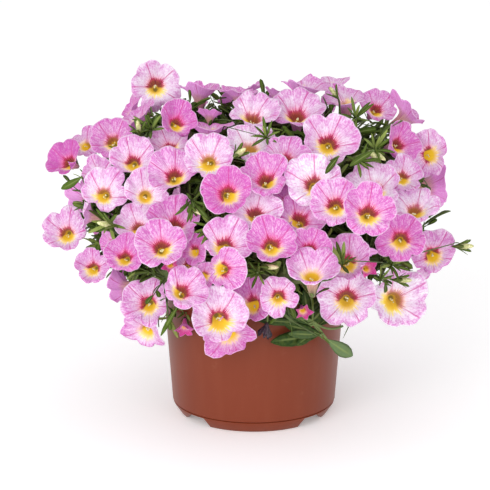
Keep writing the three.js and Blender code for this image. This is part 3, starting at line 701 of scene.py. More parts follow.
def petal_rows():
    """(share, depth, side) of each row: side is 0 on the face and 1 on the back."""
    face = [(share, depth, 0.0) for share, depth in INNER_TUBE]
    face += [(share, limb_depth(share), 0.0) for share in INNER_LIMB]
    back = [(share, limb_depth(share) + PETAL, 1.0) for share in OUTER_LIMB]
    back += [(share, depth, 1.0) for share, depth in OUTER_TUBE]
    return np.array(face + back)


# %% Petal surface

SMALL = 8 * MM
UPWARD = np.array([0, -0.15, 1.0])


def stacked(blooms, key):
    return np.array([bloom[key] for bloom in blooms])


# Blooms whose throat is nearer the middle than the others': [across, up, how low it lies].
MIDDLE_THROATS = [[-68, 221, -0.04], [64, 74, 0.03], [17, 75, 0.02], [101, 115, 0.05], [103, 182, 0.08]]
# Blooms that open wider or less wide than the rule gives: [across, up, times as wide].
OWN_WIDTHS = [
    [64, 74, 1.07], [17, 75, 0.93], [-77, 50, 1.20], [100, 74, 1.10], [124, 105, 1.10],
    [-19, 148, 0.94], [79, 135, 0.93], [-82, 124, 1.05], [40, 96, 0.96],
]


def bloom_seen_at(blooms, across, up):
    """The bloom that shows nearest to a place of the front view."""
    seen = seen_at(stacked(blooms, "centre"))
    return blooms[np.linalg.norm(seen - np.array([across, up]) * MM, axis=1).argmin()]


def set_upper_sides(blooms, draw):
    """In each bloom's rim plane, the direction that is uppermost, turned a little by chance, and
    how far the throat lies below the rim's middle. A bloom that faces up is a cup instead.
    Some front blooms have a throat and a width of their own."""
    for bloom in blooms:
        face = bloom["face"]
        chance = UPWARD + draw.normal(0, 0.32, 3)
        bloom["upper"] = unit(chance - (face @ chance) * face)
        bloom["young"] = float(bloom["radius"] < SMALL)
        faces_up = float(np.interp(face[2], [0.75, 0.95], [0, 1]))
        bloom["cup"] = 0.14 * faces_up + draw.uniform(0, 0.12) + 0.40 * bloom["young"]
        bloom["low"] = draw.uniform(0.10, 0.27) * (1 - bloom["young"]) * (1 - 0.6 * faces_up)
        bloom["loose"] = draw.uniform(0.5, 1.2) + 0.7 * faces_up
    for across, up, low in MIDDLE_THROATS:
        bloom_seen_at(blooms, across, up)["low"] = low
    for across, up, wider in OWN_WIDTHS:
        bloom_seen_at(blooms, across, up)["radius"] *= wider


def waves(draw, copies, count, angle):
    """So many waves round the rim, begun at a turn of its own in each copy."""
    return np.cos(count * angle + draw.uniform(0, 6.3, (copies, 1)))


def rim_outline(draw, copies, turn):
    """The rim's radius at each turn, as a share: a notch between lobes, now and then a deep one,
    a faint dent in each lobe's middle, lobes of unequal length, and slow and quick waves."""
    lobe = (turn // 72).astype(int)
    nearest = np.round(turn / 72).astype(int) % 5
    from_notch = np.minimum(turn % 72, 72 - turn % 72)
    notch = draw.uniform(0.06, 0.17, (copies, 5)) + 0.14 * (draw.uniform(0, 1, (copies, 5)) > 0.86)
    length = draw.uniform(-0.06, 0.07, (copies, 5))[:, lobe]
    middle = np.cos(np.radians((36 - from_notch) * 2.5)) ** 2
    angle = np.radians(turn)
    slow = 0.03 * waves(draw, copies, 3, angle)
    quick = 0.008 * waves(draw, copies, 17, angle)
    dents = notch[:, nearest] * np.exp(-((from_notch / 10.5) ** 1.4))
    dents = dents + 0.018 * np.exp(-(((36 - from_notch) / 6.0) ** 2))
    return 1 - dents + length * middle + slow + quick, middle, lobe, nearest, from_notch


def petal_grid(blooms, draw):
    """All blooms at once, as (blooms, rows, columns, 3). The throat sits below the rim's middle,
    the lower lobes curl back and the upper ones stand up. Each lobe is arched between its two
    folds, twists and curls by its own amount, the whole limb warps, and ruffles grow towards the
    rim. A young bloom is a five-pointed star that hasn't opened yet."""
    rows = petal_rows()
    turn = (72.0 * np.arange(5)[:, None] + np.array(LOBE_STEPS)).ravel()
    angle = np.radians(turn)
    copies = len(blooms)
    edge, middle, lobe, nearest, from_notch = rim_outline(draw, copies, turn)
    star = 1.05 - 0.55 * (1 - from_notch / 36) ** 0.8
    is_young = stacked(blooms, "young")[:, None]
    edge = edge * (1 - is_young) + star * is_young
    side, other, face, centre = (
        stacked(blooms, key)[:, None, None] for key in ("side", "other", "face", "centre"))
    radius = stacked(blooms, "radius")[:, None, None]
    radial = on_circle(angle[None, None, :, None], side, other)
    upper = stacked(blooms, "upper")
    young, cup, low, loose = (
        stacked(blooms, key)[:, None, None] for key in ("young", "cup", "low", "loose"))
    lift = np.einsum("brcx,bx->brc", radial, upper)

    share = rows[:, 0][None, :, None]
    below = np.clip(-lift, 0, 1)
    above = np.clip(lift, 0, 1)
    narrow = 1.06 - (0.8 * low * below ** 1.5 - 0.05 * above + 0.28 * cup - 0.06 * young) * share ** 2
    dented = (edge[:, None] - 1) * (1 + 0.9 * below * (1 - young)) * share ** 3
    out = share * (1 + dented) * narrow

    def by_chance(least, most, which):
        return draw.uniform(least, most, (copies, 5))[:, None, which]

    beyond = np.clip(share - 0.42, 0, 1) ** 2
    curl = by_chance(-0.10, 0.20, lobe) * middle
    lower_curl = draw.uniform(0.4, 1.6, (copies, 1, 1)) * below
    tilt = draw.uniform(0.4, 1.1, (copies, 1, 1)) * low * (above - 1.6 * below)
    across = (turn % 72 - 36) / 36
    twist = by_chance(-0.10, 0.10, lobe) * across * (1 - np.abs(across)) * 4
    arch = by_chance(0.04, 0.12, lobe) * middle
    fold = by_chance(0.03, 0.17, nearest) * np.exp(-((from_notch / 8.0) ** 2))
    groove = 0.022 * np.exp(-(((36 - from_notch) / 3.0) ** 2)) * np.sin(np.pi * share)
    saddle = draw.uniform(0.01, 0.09, (copies, 1)) * waves(draw, copies, 2, angle)
    saddle = saddle + draw.uniform(0, 0.05, (copies, 1)) * waves(draw, copies, 3, angle)
    ruffle = 0.018 * waves(draw, copies, draw.integers(9, 15, (copies, 1)), angle)
    limb = np.clip((share - THROAT[0]) / (1 - THROAT[0]), 0, 1)
    depth = rows[:, 1][None, :, None] + (2.6 * curl * loose + lower_curl) * beyond
    depth = depth + loose * (saddle[:, None] * share ** 2 + ruffle[:, None] * share ** 6)
    depth = depth + (groove + fold * share ** 1.5) * (share > 0.3)
    depth = depth + (twist - arch * np.sin(np.pi * limb)) * limb
    depth = depth + (tilt - cup) * limb ** 1.3

    on_limb = np.clip((1 - share) / (1 - THROAT[0]), 0, 1)
    on_tube = np.clip((TUBE_END - rows[:, 1]) / (TUBE_END - THROAT[1]), 0, 1)[None, :, None]
    slip = low * radius * on_limb * on_tube * np.ones(len(angle))
    grid = centre + (radius * out)[..., None] * radial - (radius * depth)[..., None] * face
    grid = grid - slip[..., None] * upper[:, None, None]
    return grid, lift, angle, from_notch, rows


# %% [markdown]
# ## Petal marks
# The colours follow the flower, not space: veins run from the throat to the rim, the crimson
# ring lies round the throat and is strongest above it, and the yellow runs out over the lower
# lip. So each point carries where it is in its flower, and each flower carries its own tone:
# how pale it is, how strong its ring is and how far the yellow glows. For the front blooms
# the paleness is partly painted light, raised where a bloom lies in shade.

# %% Tones of the front blooms

# Each row is [across, up, pale, ring, glow] for a bloom as it is seen from the front: its place
# in millimetres on a plane through the pot's axis, and its three tones from 0 to 1. A pale tone
# below 0 is a deeper pink. The pale tone is partly the bloom's own and partly painted light:
# it is raised for blooms that lie in the shade of others.
FRONT_TONES_AND_LIGHT = [
    [-68, 221, 1.10, 0.65, 0.75], [-86, 207, 0.00, 0.30, 0.30], [-99, 185, 0.10, 0.45, 0.55],
    [-116, 182, 0.55, 0.30, 0.30], [-131, 171, -0.60, 0.80, 0.45], [-84, 172, 0.70, 0.60, 0.50],
    [-104, 149, 0.78, 0.40, 0.65], [-109, 161, 0.45, 0.50, 0.40], [-57, 163, 0.35, 0.80, 0.55],
    [-59, 182, 0.75, 0.60, 0.50], [-52, 198, -0.20, 1.00, 0.35], [-74, 149, 0.95, 0.25, 0.40],
    [-37, 219, 0.25, 0.30, 0.20], [-11, 218, 0.20, 0.30, 0.20], [-31, 194, 0.15, 0.60, 0.40],
    [0, 204, 0.85, 0.50, 0.60], [30, 206, 0.65, 0.85, 0.60], [52, 184, 0.70, 0.70, 0.60],
    [-32, 172, 0.68, 0.35, 0.80], [-3, 183, 1.50, 0.35, 0.55], [23, 174, 0.35, 0.65, 0.45],
    [7, 160, 0.10, 0.90, 0.30], [-19, 148, -0.35, 1.00, 0.45], [40, 156, 1.35, 0.55, 0.60],
    [63, 213, 0.60, 0.30, 0.30], [86, 207, 0.45, 0.70, 0.55], [108, 205, 0.30, 0.40, 0.30],
    [103, 182, -0.10, 0.70, 0.30], [121, 174, 0.55, 0.60, 0.50], [104, 160, 0.65, 0.50, 0.50],
    [82, 152, 1.25, 0.60, 0.60], [55, 140, 0.40, 0.70, 0.55], [79, 135, 0.08, 0.75, 0.75],
    [111, 140, 1.10, 0.45, 0.55], [101, 115, -0.15, 1.00, 0.55], [124, 105, 0.40, 0.70, 0.55],
    [100, 74, 1.40, 0.38, 0.95], [64, 74, 0.95, 0.80, 0.65], [63, 102, 0.45, 0.80, 0.50],
    [39, 109, -0.10, 0.95, 0.60], [40, 96, 0.45, 0.15, 0.65], [17, 75, 0.60, 0.85, 0.70],
    [1, 136, 1.25, 0.70, 0.40], [-19, 114, 0.65, 0.75, 0.65], [12, 114, -0.05, 0.85, 0.60],
    [-20, 94, 0.15, 0.80, 0.65], [-3, 73, 0.15, 0.85, 0.60], [-24, 62, 0.95, 0.75, 0.95],
    [-18, 47, 0.10, 0.30, 0.30], [-48, 82, 0.50, 0.80, 0.45], [-56, 129, 0.20, 0.85, 0.40],
    [-65, 112, 0.20, 0.85, 0.60], [-90, 105, -0.10, 0.85, 0.45], [-82, 124, 1.00, 0.50, 0.40],
    [-112, 96, 0.35, 0.70, 0.65], [-131, 121, 0.60, 0.50, 0.70], [-75, 71, 0.60, 0.85, 0.55],
    [-77, 50, 0.50, 0.30, 0.40], [-43, 108, 0.00, 0.90, 0.30], [-58, 97, 0.00, 0.40, 0.10],
    [-48, 53, 0.00, 0.30, 0.10], [34, 65, 0.00, 0.30, 0.40], [78, 95, 0.20, 0.30, 0.40],
    [33, 133, 0.40, 0.80, 0.55], [112, 132, 1.70, 0.45, 0.55],
    [17, 216, 0.45, 0.40, 0.30], [36, 222, 0.50, 0.40, 0.30], [115, 87, 0.60, 0.50, 0.45],
    [-95, 83, 0.35, 0.60, 0.50], [-115, 157, 0.30, 0.40, 0.35], [-31, 203, 0.25, 0.70, 0.35],
]
NEAR_ENOUGH = 3 * MM
FRONT_DEPTH = 70 * MM


def tones_of(blooms, draw):
    """Pale, ring and glow of each bloom: by the list in front, by chance behind."""
    table = np.array(FRONT_TONES_AND_LIGHT)
    seen = seen_at(stacked(blooms, "centre"))
    gaps = np.linalg.norm(seen[:, None] - table[None, :, :2] * MM, axis=-1)
    nearest = gaps.argmin(1)
    listed = (gaps.min(1) < NEAR_ENOUGH) & (stacked(blooms, "centre")[:, 1] < FRONT_DEPTH)
    chance = np.stack([
        draw.beta(1.3, 1.6, len(blooms)),
        draw.uniform(0.4, 0.95, len(blooms)),
        draw.uniform(0.35, 0.8, len(blooms)),
    ], -1)
    print("tones from the list", int(listed.sum()))
    return np.where(listed[:, None], table[nearest, 2:], chance)


# %% Petal finish

DEEP_PINK = (0.44, 0.060, 0.32)
PINK = (0.54, 0.130, 0.44)
LIGHT_PINK = (0.60, 0.265, 0.56)
PALE_PINK = (0.66, 0.48, 0.68)
NEAR_WHITE = (0.78, 0.77, 0.81)
CRIMSON = (0.38, 0.008, 0.080)
MAROON = (0.14, 0.009, 0.020)
ORANGE = (0.66, 0.24, 0.020)
LEMON = (0.73, 0.50, 0.013)
GOLD = (0.66, 0.42, 0.012)
# Old gold is also the painted shade on the upper half of the tube.
OLD_GOLD = (0.40, 0.24, 0.008)
PALE_LEMON = (0.84, 0.74, 0.16)
HOT_PINK = (0.58, 0.030, 0.22)
# Painted shade at the bottom of the tube.
TUBE_SHADE = (0.12, 0.095, 0.010)
TUBE_OUTSIDE = (0.52, 0.36, 0.18)
TUBE_RIB = (0.30, 0.08, 0.12)
TUBE_GREEN = (0.22, 0.27, 0.06)
BACK_PINK = (0.72, 0.25, 0.66)
BACK_PALE = (0.68, 0.47, 0.69)
VEIN_PINK = (0.46, 0.034, 0.22)
# Colours of the petals' painted glow, an emission that stands in for light through them and lifts their
# shade: on the face, on pale blooms and on the back. GLOW is its strength.
PAINTED_GLOW = (0.20, 0.022, 0.15)
PAINTED_GLOW_BACK = (0.60, 0.17, 0.52)
PAINTED_GLOW_PALE = (0.32, 0.19, 0.31)
GLOW = 0.38


def petal_colours(finish, reach, pale, noises, vein):
    """The limb's face without its throat: pink by tone, whitish towards the throat and in large
    patches, pinker at the rim, with pale and deep streaks and flecks that run outwards."""
    streaks, threads, mottle, patches = noises
    return finish.layers(
        PINK,
        (pale.step(0.0, 0.45), LIGHT_PINK),
        (pale.step(0.4, 0.9) * 0.8, PALE_PINK),
        (pale.step(0.05, -0.5) * 0.75, DEEP_PINK),
        (reach.step(0.88, 0.34) * (0.04 + 0.80 * pale), NEAR_WHITE),
        (patches.step(0.50, 0.64) * (0.15 + 0.55 * pale), NEAR_WHITE),
        (reach.step(0.50, 0.92) * patches.step(0.66, 0.45) * (0.30 + 0.30 * pale), PINK),
        (streaks.step(0.50, 0.60) * (0.36 + 0.28 * pale), NEAR_WHITE),
        (streaks.step(0.48, 0.40) * (0.44 - 0.26 * pale), DEEP_PINK),
        (mottle.step(0.50, 0.58) * (0.24 + 0.18 * pale), NEAR_WHITE),
        (mottle.step(0.48, 0.40) * 0.34, DEEP_PINK),
        (threads.step(0.50, 0.57) * (0.58 - 0.24 * pale), DEEP_PINK),
        (vein, VEIN_PINK),
    )


def throat_colours(finish, colour, reach, lobe, lift, tone, noises):
    """The throat over the limb's colour: a ragged glow that is whitish, then yellow, over the
    lower lip, the yellow tube, and above it a maroon ring that starts down in the tube, breaks up
    into rays with orange between them, and fades out through hot pink. The tube's upper half is
    darker old gold, painted shade on the wall that faces down, and its bottom is painted dark as
    shade deep in the tube."""
    ring, glow = tone
    rays, threads = noises
    lower = lift.step(0.45, -0.55)
    upper = lift.step(-0.60, 0.25)
    ray = rays.step(0.36, 0.62)
    fine = threads.step(0.44, 0.58)
    lip = 0.25 + 0.10 * ray + 0.04 * fine + glow * lower * (0.04 + 0.14 * ray)
    white = reach.step(lip + 0.28, lip) * (0.22 + 0.45 * lower) * (0.35 + 0.65 * glow)
    yellow = reach.step(lip + 0.08, lip - 0.05) * (0.15 + 0.40 * lower + 0.45 * glow)

    ring_out = 0.246 + 0.05 * ray + 0.075 * fine + 0.06 * lobe.step(0.45, 1.0) + 0.02 * upper
    ring_in = 0.14 + 0.12 * lower - 0.03 * fine
    strength = ring * (0.05 + 0.95 * upper)
    halo = reach.step(ring_out + 0.22, ring_out - 0.01) * strength
    band = reach.step(ring_out + 0.045, ring_out - 0.04) * reach.step(ring_in - 0.035, ring_in + 0.04)
    between = threads.step(0.50, 0.40) * reach.step(0.34, 0.25) * 0.32
    red = finish.layers(
        CRIMSON, (reach.step(ring_out + 0.02, 0.20), MAROON), (between, ORANGE))
    return finish.layers(
        colour,
        (white, NEAR_WHITE),
        (yellow, finish.mix(reach.step(0.28, 0.44), LEMON, PALE_LEMON)),
        (halo * 0.72, HOT_PINK),
        # A lemon tube with gold flecks. Its upper half is darker old gold as painted shade.
        (reach.step(0.29, 0.215), finish.layers(LEMON, (fine * 0.45, GOLD), (upper * 0.5, OLD_GOLD))),
        ((band * strength).step(0.04, 0.60), red),
        # Painted shade: the bottom of the tube is darkened.
        (reach.step(0.125, 0.05) * 0.9, TUBE_SHADE),
    )


def petal_finish():
    """Pink with paler streaks, five dark midveins, a rayed maroon ring above the throat and a
    yellow throat that runs out over the lower lip. The back is lilac with a veined tube. Light
    that comes through the thin petals and the tube's wall is a painted glow of their own, which
    also lifts their shade, most on the back."""
    finish = Finish("petal", {"IOR": 1.38, "Sheen Weight": 0.1, "Emission Strength": GLOW})
    reach, lobe, lift = finish.mark("where")
    pale, ring, glow = finish.mark("tone")
    cosine, sine, seed = finish.mark("turn")
    back, young, _ = finish.mark("state")
    streaks = finish.noise(finish.vector(cosine * 3.4, sine * 3.4, reach * 1.1 + seed), 4.4, 5.0, 0.7)
    threads = finish.noise(finish.vector(cosine * 9, sine * 9, reach * 1.1 + seed), 4.4, 2.0)
    flat = finish.vector(cosine * reach, sine * reach, seed)
    mottle = finish.noise(flat, 16.0, 4.0, 0.7)
    patches = finish.noise(flat, 2.6, 2.0, 0.55)
    rays = finish.noise(finish.vector(cosine * 4, sine * 4, seed), 2.6, 3.0, 0.6)
    vein = lobe.step(0.92, 0.985) * reach.step(1.04, 0.84) * reach.step(0.2, 0.4) * 0.85
    colour = petal_colours(finish, reach, pale, (streaks, threads, mottle, patches), vein)
    fresh = young * (1 - 0.7 * reach.step(0.85, 1.0))
    fresh = fresh * (1 - 0.6 * mottle.step(0.5, 0.6))
    # Young blooms are hot pink. The faint near-white line along the rim is a painted highlight where the
    # edges catch the light.
    colour = finish.layers(colour, (fresh, HOT_PINK), (reach.step(0.95, 0.99) * 0.5, NEAR_WHITE))
    colour = throat_colours(finish, colour, reach, lobe, lift, (ring, glow), (rays, threads))

    tube_out = finish.layers(
        TUBE_OUTSIDE, (threads.step(0.48, 0.60), TUBE_RIB), (reach.step(0.22, 0.12), TUBE_GREEN))
    outside = finish.layers(
        BACK_PINK,
        (pale, BACK_PALE),
        (mottle.step(0.48, 0.58) * 0.30, NEAR_WHITE),
        (threads.step(0.5, 0.60) * 0.40, DEEP_PINK),
        (vein, VEIN_PINK),
        (reach.step(0.60, 0.24), tube_out),
        (young * 0.8, HOT_PINK),
    )
    finish.set("Base Color", finish.mix(back, colour, outside))
    finish.set("Roughness", 0.50 + 0.15 * streaks)
    # Painted glow: in the tube the throat's own colour glows, elsewhere the painted glow colour, most on
    # the back.
    in_tube = reach.step(0.44, 0.34) * (1 - back)
    through = finish.layers(
        PAINTED_GLOW, (pale.step(0.5, 1.4), PAINTED_GLOW_PALE), (back * reach.step(0.2, 0.5), PAINTED_GLOW_BACK))
    finish.set("Emission Color", finish.mix(in_tube * 0.85, through, colour))
    finish.bump(threads + mottle, 0.45, 0.22 * MM)
    return finish.material


# %% Blooms


def bloom_piece(name, blooms, nodes, material, seed):
    """One piece of many blooms, with its marks."""
    draw = np.random.default_rng(seed)
    grid, lift, angle, from_notch, rows = petal_grid(blooms, draw)
    copies, count, columns, _ = grid.shape
    shape = (copies, count, columns)
    reach, back = (rows[:, k][None, :, None] for k in (0, 2))
    own = draw.uniform(0, 40, copies)[:, None, None]
    turn = marks_of(shape, np.cos(angle), np.sin(angle), own)
    tone = np.broadcast_to(tones_of(blooms, draw)[:, None, None], (*shape, 3))
    state = marks_of(shape, back, stacked(blooms, "young")[:, None, None], 0.0)
    where = marks_of(shape, reach, from_notch / 36.0, lift)
    points, faces = many(grid, grid[:, 0].mean(1), grid[:, -1].mean(1))
    marks = {key: spread(values, values[:, 0, 0], values[:, -1, 0]) for key, values in {
        "where": where, "tone": tone, "turn": turn, "state": state}.items()}
    return make_piece(name, "petals", material, points, faces, marks, nodes)


set_upper_sides(blooms, np.random.default_rng(19))
petal = petal_finish()
for number, tier in enumerate(["low", "high", "crown"]):
    nodes = [node for node in SPRAYS if f"_{tier}_" in node]
    own = [bloom for bloom in blooms if bloom["node"] in nodes]
    bloom_piece(f"blooms_{tier}", own, nodes, petal, 20 + number)

# %% [markdown]
# ## Leaves and sepals
# Calibrachoa leaves are small, narrow and blunt, folded a little along the midrib and arched
# down to the tip. A blade is a flat ring carried from base to tip: points over its face and
# fewer back under it, so it is a thin closed body. A large leaf gets more of them than a small
# one, of which there are thousands.

# %% Leaf surface

LARGE_BLADE = {
    "across": np.array([-1, -0.5, 0, 0.5, 1, 0.5, 0, -0.5]),
    "face": np.array([0, 1, 1, 1, 0, -1, -1, -1]),
    "along": np.array([0.06, 0.22, 0.42, 0.62, 0.80, 0.94]),
}
SMALL_BLADE = {
    "across": np.array([-1, 0, 1, 0]),
    "face": np.array([0, 1, 0, -1]),
    "along": np.array([0.08, 0.34, 0.66, 0.90]),
}
THICK = 0.16 * MM


def leaf_grid(leaves, draw, blade, fold, shape, bends, tip, point):
    """Leaves as (leaves, stations, columns, 3). The half width grows with a power of the way
    along and closes at the tip, sooner for a smaller tip power and sharper for a greater point
    power. The sides rise by the fold, and the blade falls with the square of the way along."""
    copies = len(leaves["base"])
    along = blade["along"][None, :, None]
    half = leaves["width"][:, None, None] / 2 * along ** shape * (1 - along ** tip) ** point * 1.25
    droop = LEAF_DROOP * leaves["length"][:, None, None]
    bend = draw.uniform(*bends, (copies, 1, 1))
    sideways = half * blade["across"]
    lift = 0.5 * LEAF_ARCH - bend * droop * along ** 2
    lift = lift + fold * np.abs(sideways) + THICK * blade["face"] * (1 - 0.6 * along)
    swing = draw.uniform(-0.08, 0.08, (copies, 1, 1)) * leaves["length"][:, None, None] * along ** 2
    forward = leaves["length"][:, None, None] * along + 0 * sideways
    side = np.cross(leaves["up"], leaves["forward"])
    return (
        leaves["base"][:, None, None]
        + forward[..., None] * leaves["forward"][:, None, None]
        + (sideways + swing)[..., None] * side[:, None, None]
        + lift[..., None] * leaves["up"][:, None, None]
    )


def leaf_piece(
        name, leaves, material, seed, blade=SMALL_BLADE, nodes=(), fold=0.28, shape=0.62,
        bends=(0.35, 2.3), tip=5, point=0.6):
    """One piece of many leaves. Its mark is the way along, the way across and the tint, which is
    partly the leaf's own tone and partly painted shade.
    """
    draw = np.random.default_rng(seed)
    grid = leaf_grid(leaves, draw, blade, fold, shape, bends, tip, point)
    end = grid[:, -1].mean(1) + 0.35 * (grid[:, -1] - grid[:, -2]).mean(1)
    shaped = grid.shape[:3]
    tone_and_shade = leaves["tone_and_shade"]
    marks = marks_of(shaped, blade["along"][None, :, None], blade["across"], tone_and_shade[:, None, None])
    ends = np.zeros((len(tone_and_shade), 3))
    ends[:, 2] = tone_and_shade
    points, faces = many(grid, leaves["base"], end)
    marks = {"blade": spread(marks, ends, ends + [1, 0, 0])}
    return make_piece(name, "leaves", material, points, faces, marks, nodes)


# The darkest leaf colour also serves as painted shade for leaves deep in the plant.
LEAF_DARK = (0.006, 0.013, 0.001)
LEAF_GREEN = (0.070, 0.128, 0.010)
LEAF_YOUNG = (0.29, 0.36, 0.085)
LEAF_SPECK = (0.12, 0.16, 0.028)
LEAF_RIB = (0.25, 0.32, 0.10)


def leaf_finish(name, dark, green):
    """Green that runs from deep to yellowish with the tint, a pale midrib, a lighter edge and
    a slight gloss over fine hairs. A low tint is partly a darker leaf and partly painted shade deep
    in the plant, where the darkest colour is nearly black."""
    finish = Finish(name, {"IOR": 1.4, "Specular IOR Level": 0.22, "Sheen Weight": 0.03})
    along, across, tone_and_shade = finish.mark("blade")
    mottle = finish.noise(finish.place(), 420.0, 3.0, 0.6)
    midrib = abs(across).step(0.24, 0.02) * along.step(1.0, 0.55)
    finish.set("Base Color", finish.layers(
        dark,
        (tone_and_shade.step(0.0, 0.6), green),
        (tone_and_shade.step(0.6, 1.0), LEAF_YOUNG),
        (mottle.step(0.35, 0.7) * 0.35, LEAF_SPECK),
        (midrib * 0.55, LEAF_RIB),
        (abs(across).step(0.86, 1.0) * 0.3, LEAF_SPECK),
    ))
    finish.set("Roughness", 0.42 + 0.2 * mottle)
    finish.bump(mottle + midrib, 0.4, 0.2 * MM)
    return finish.material


leaf = leaf_finish("leaf", LEAF_DARK, LEAF_GREEN)

# %% Stems and stalks

DOME_CENTRE = np.array([0, 15, 145]) * MM
DOME_ABOVE = np.array([133, 124, 82]) * MM
DOME_BELOW = np.array([133, 124, 74]) * MM


def bare_copy(name, parts, material):
    """The stems that the CAD solids leave once their blooms or leaves are taken off, with the
    holes closed, as one smoothed piece."""
    work = bmesh.new()
    for places, triangles in parts:
        corners = {k: work.verts.new(places[k]) for k in np.unique(triangles).tolist()}
        for triangle in triangles.tolist():
            work.faces.new([corners[k] for k in triangle])
    bmesh.ops.holes_fill(work, edges=work.edges[:], sides=0)
    bmesh.ops.triangulate(work, faces=[face for face in work.faces if len(face.verts) > 4])
    mesh = bpy.data.meshes.new(name)
    work.to_mesh(mesh)
    work.free()
    smooth = dress(mesh, material).modifiers.new("smooth", "SUBSURF")
    smooth.levels = smooth.render_levels = 1


def stem_finish(name, young, old):
    """A green stem with darker flecks along it. Deep in the plant it is painted darker than where
    it comes out into the light, as painted shade: the square of the way out from the dome's centre
    sets how much. The young colour is the one in the light, the old one the painted shade."""
    finish = Finish(name, {"Roughness": 0.6})
    mottle = finish.noise(finish.place(), 350.0, 3.0)
    offset = finish.node("ShaderNodeVectorMath", {"operation": "SUBTRACT"}, {
        0: finish.place(), 1: DOME_CENTRE.tolist()})
    way = finish.node("ShaderNodeVectorMath", {"operation": "DIVIDE"}, {
        0: offset, 1: DOME_ABOVE.tolist()})
    square = finish.node("ShaderNodeVectorMath", {"operation": "DOT_PRODUCT"}, {0: way, 1: way}, 1)
    share = square.step(0.30, 0.75) * (1 - 0.45 * mottle.step(0.35, 0.7))
    finish.set("Base Color", finish.mix(share, old, young))
    finish.bump(mottle, 0.4, 0.3 * MM)
    return finish.material


# Painted shade: each finish runs from its first colour, out in the light, to its second, darker one deep
# in the plant. For the stems the second is nearly black.
stalk = stem_finish("stalk", (0.14, 0.20, 0.050), (0.06, 0.10, 0.025))
stem = stem_finish("stem", (0.085, 0.13, 0.028), (0.012, 0.022, 0.004))
bare_copy("stalks", [found[node][1:] for node in SPRAYS], stalk)
bare_copy("stems", [grown[node][1:] for node in BRANCHES], stem)

# %% Sepals


def sepal_leaves(blooms, draw):
    """Five narrow sepals from the foot of each tube, leaning out along it."""
    turn = np.radians(72.0 * np.arange(5) + 36)[None, :, None]
    side, other = (stacked(blooms, key)[:, None] for key in ("side", "other"))
    out = on_circle(turn, side, other)
    face = stacked(blooms, "face")[:, None]
    radius = stacked(blooms, "radius")[:, None, None]
    base = stacked(blooms, "centre")[:, None] - 1.50 * radius * face + 0.10 * radius * out
    forward = unit(face + draw.uniform(0.26, 0.62, (len(blooms), 5, 1)) * out)
    up = square_to(forward, out)
    long = (radius * draw.uniform(0.70, 0.95, (len(blooms), 5, 1)))[..., 0].ravel()
    return {
        "base": base.reshape(-1, 3),
        "forward": forward.reshape(-1, 3),
        "up": -up.reshape(-1, 3),
        "length": long,
        "width": 0.17 * long + 0.8 * MM,
        "tone_and_shade": draw.uniform(0.35, 0.85, len(long)),
    }


leaf_piece("sepals", sepal_leaves(blooms, np.random.default_rng(41)), leaf, 42, shape=0.3)

# %% [markdown]
# ## The small shoots
# Between the blooms the real plant is full of thin leafy shoots. They all start on a branch and
# end near the dome of blooms, so the ends are spread evenly over the dome first, and each is led
# back to the nearest branch. A leaf that would cross a bloom or hide its face is left out.

# %% Branches and dome

GOLDEN_TURN = math.pi * (3 - math.sqrt(5))


def golden_turns(draw, copies, each):
    """The turns of so many leaves up a shoot, each shoot begun at a turn of its own."""
    return (GOLDEN_TURN * np.arange(each))[None, :, None] + draw.uniform(0, 6.3, (copies, 1, 1))


# Each list runs up a branch as [distance from the axis, height], and each tier has branches at
# equal turns from its first, in degrees from the front.
BRANCH_LINES = [
    (7, 12, [[42, 111], [62, 122], [82, 121], [94, 117]]),
    (5, 38, [[24, 130], [38, 155], [52, 172], [60, 182]]),
    (1, 0, [[0, 138], [0, 164], [0, 184], [0, 198]]),
]


def branch_places(steps=12):
    """Places along all the branches, evenly from the lowest leaf to the end of each."""
    found = []
    for count, first, line in BRANCH_LINES:
        line = np.array(line) * MM
        way = np.linspace(0, len(line) - 1, steps)
        radius, height = (np.interp(way, range(len(line)), line[:, k]) for k in (0, 1))
        for k in range(count):
            turn = math.radians(first + 360 / count * k)
            found.append(np.stack([radius * math.sin(turn), -radius * math.cos(turn), height], -1))
    return np.concatenate(found)


branches = branch_places()


def nearest(carriers, places):
    """For each place the nearest of the carriers' places."""
    return carriers[np.linalg.norm(places[:, None] - carriers[None], axis=-1).argmin(1)]


def nearest_branch(places):
    return nearest(branches, places)


def dome_places(count, shares):
    """Places spread evenly over the dome by the golden angle, each at its share of the way from
    the dome's centre to its surface."""
    z = np.linspace(-0.82, 0.98, count)
    flat = np.sqrt(1 - z ** 2)
    turn = GOLDEN_TURN * np.arange(count)
    outward = np.stack([flat * np.cos(turn), flat * np.sin(turn), z], -1)
    size = np.where(z[:, None] > 0, DOME_ABOVE, DOME_BELOW)
    return DOME_CENTRE + outward * size * shares[:, None]


# %% What a leaf must miss

CLEAR_FRONT = 20 * MM
CLEAR_BACK = 1.0 * MM
POT_CLEAR = 67 * MM
SOIL_CLEAR = 58 * MM
FACES_US = 0.35
HIDES_WITHIN = 0.82

bloom_centre, bloom_face, bloom_radius = (
    stacked(blooms, key) for key in ("centre", "face", "radius"))
bloom_seen = seen_at(bloom_centre)
bloom_near = (bloom_centre - SIGHT_EYE) @ SIGHT
to_eye = unit(SIGHT_EYE - bloom_centre)
shows_face = (bloom_face * to_eye).sum(1) > FACES_US


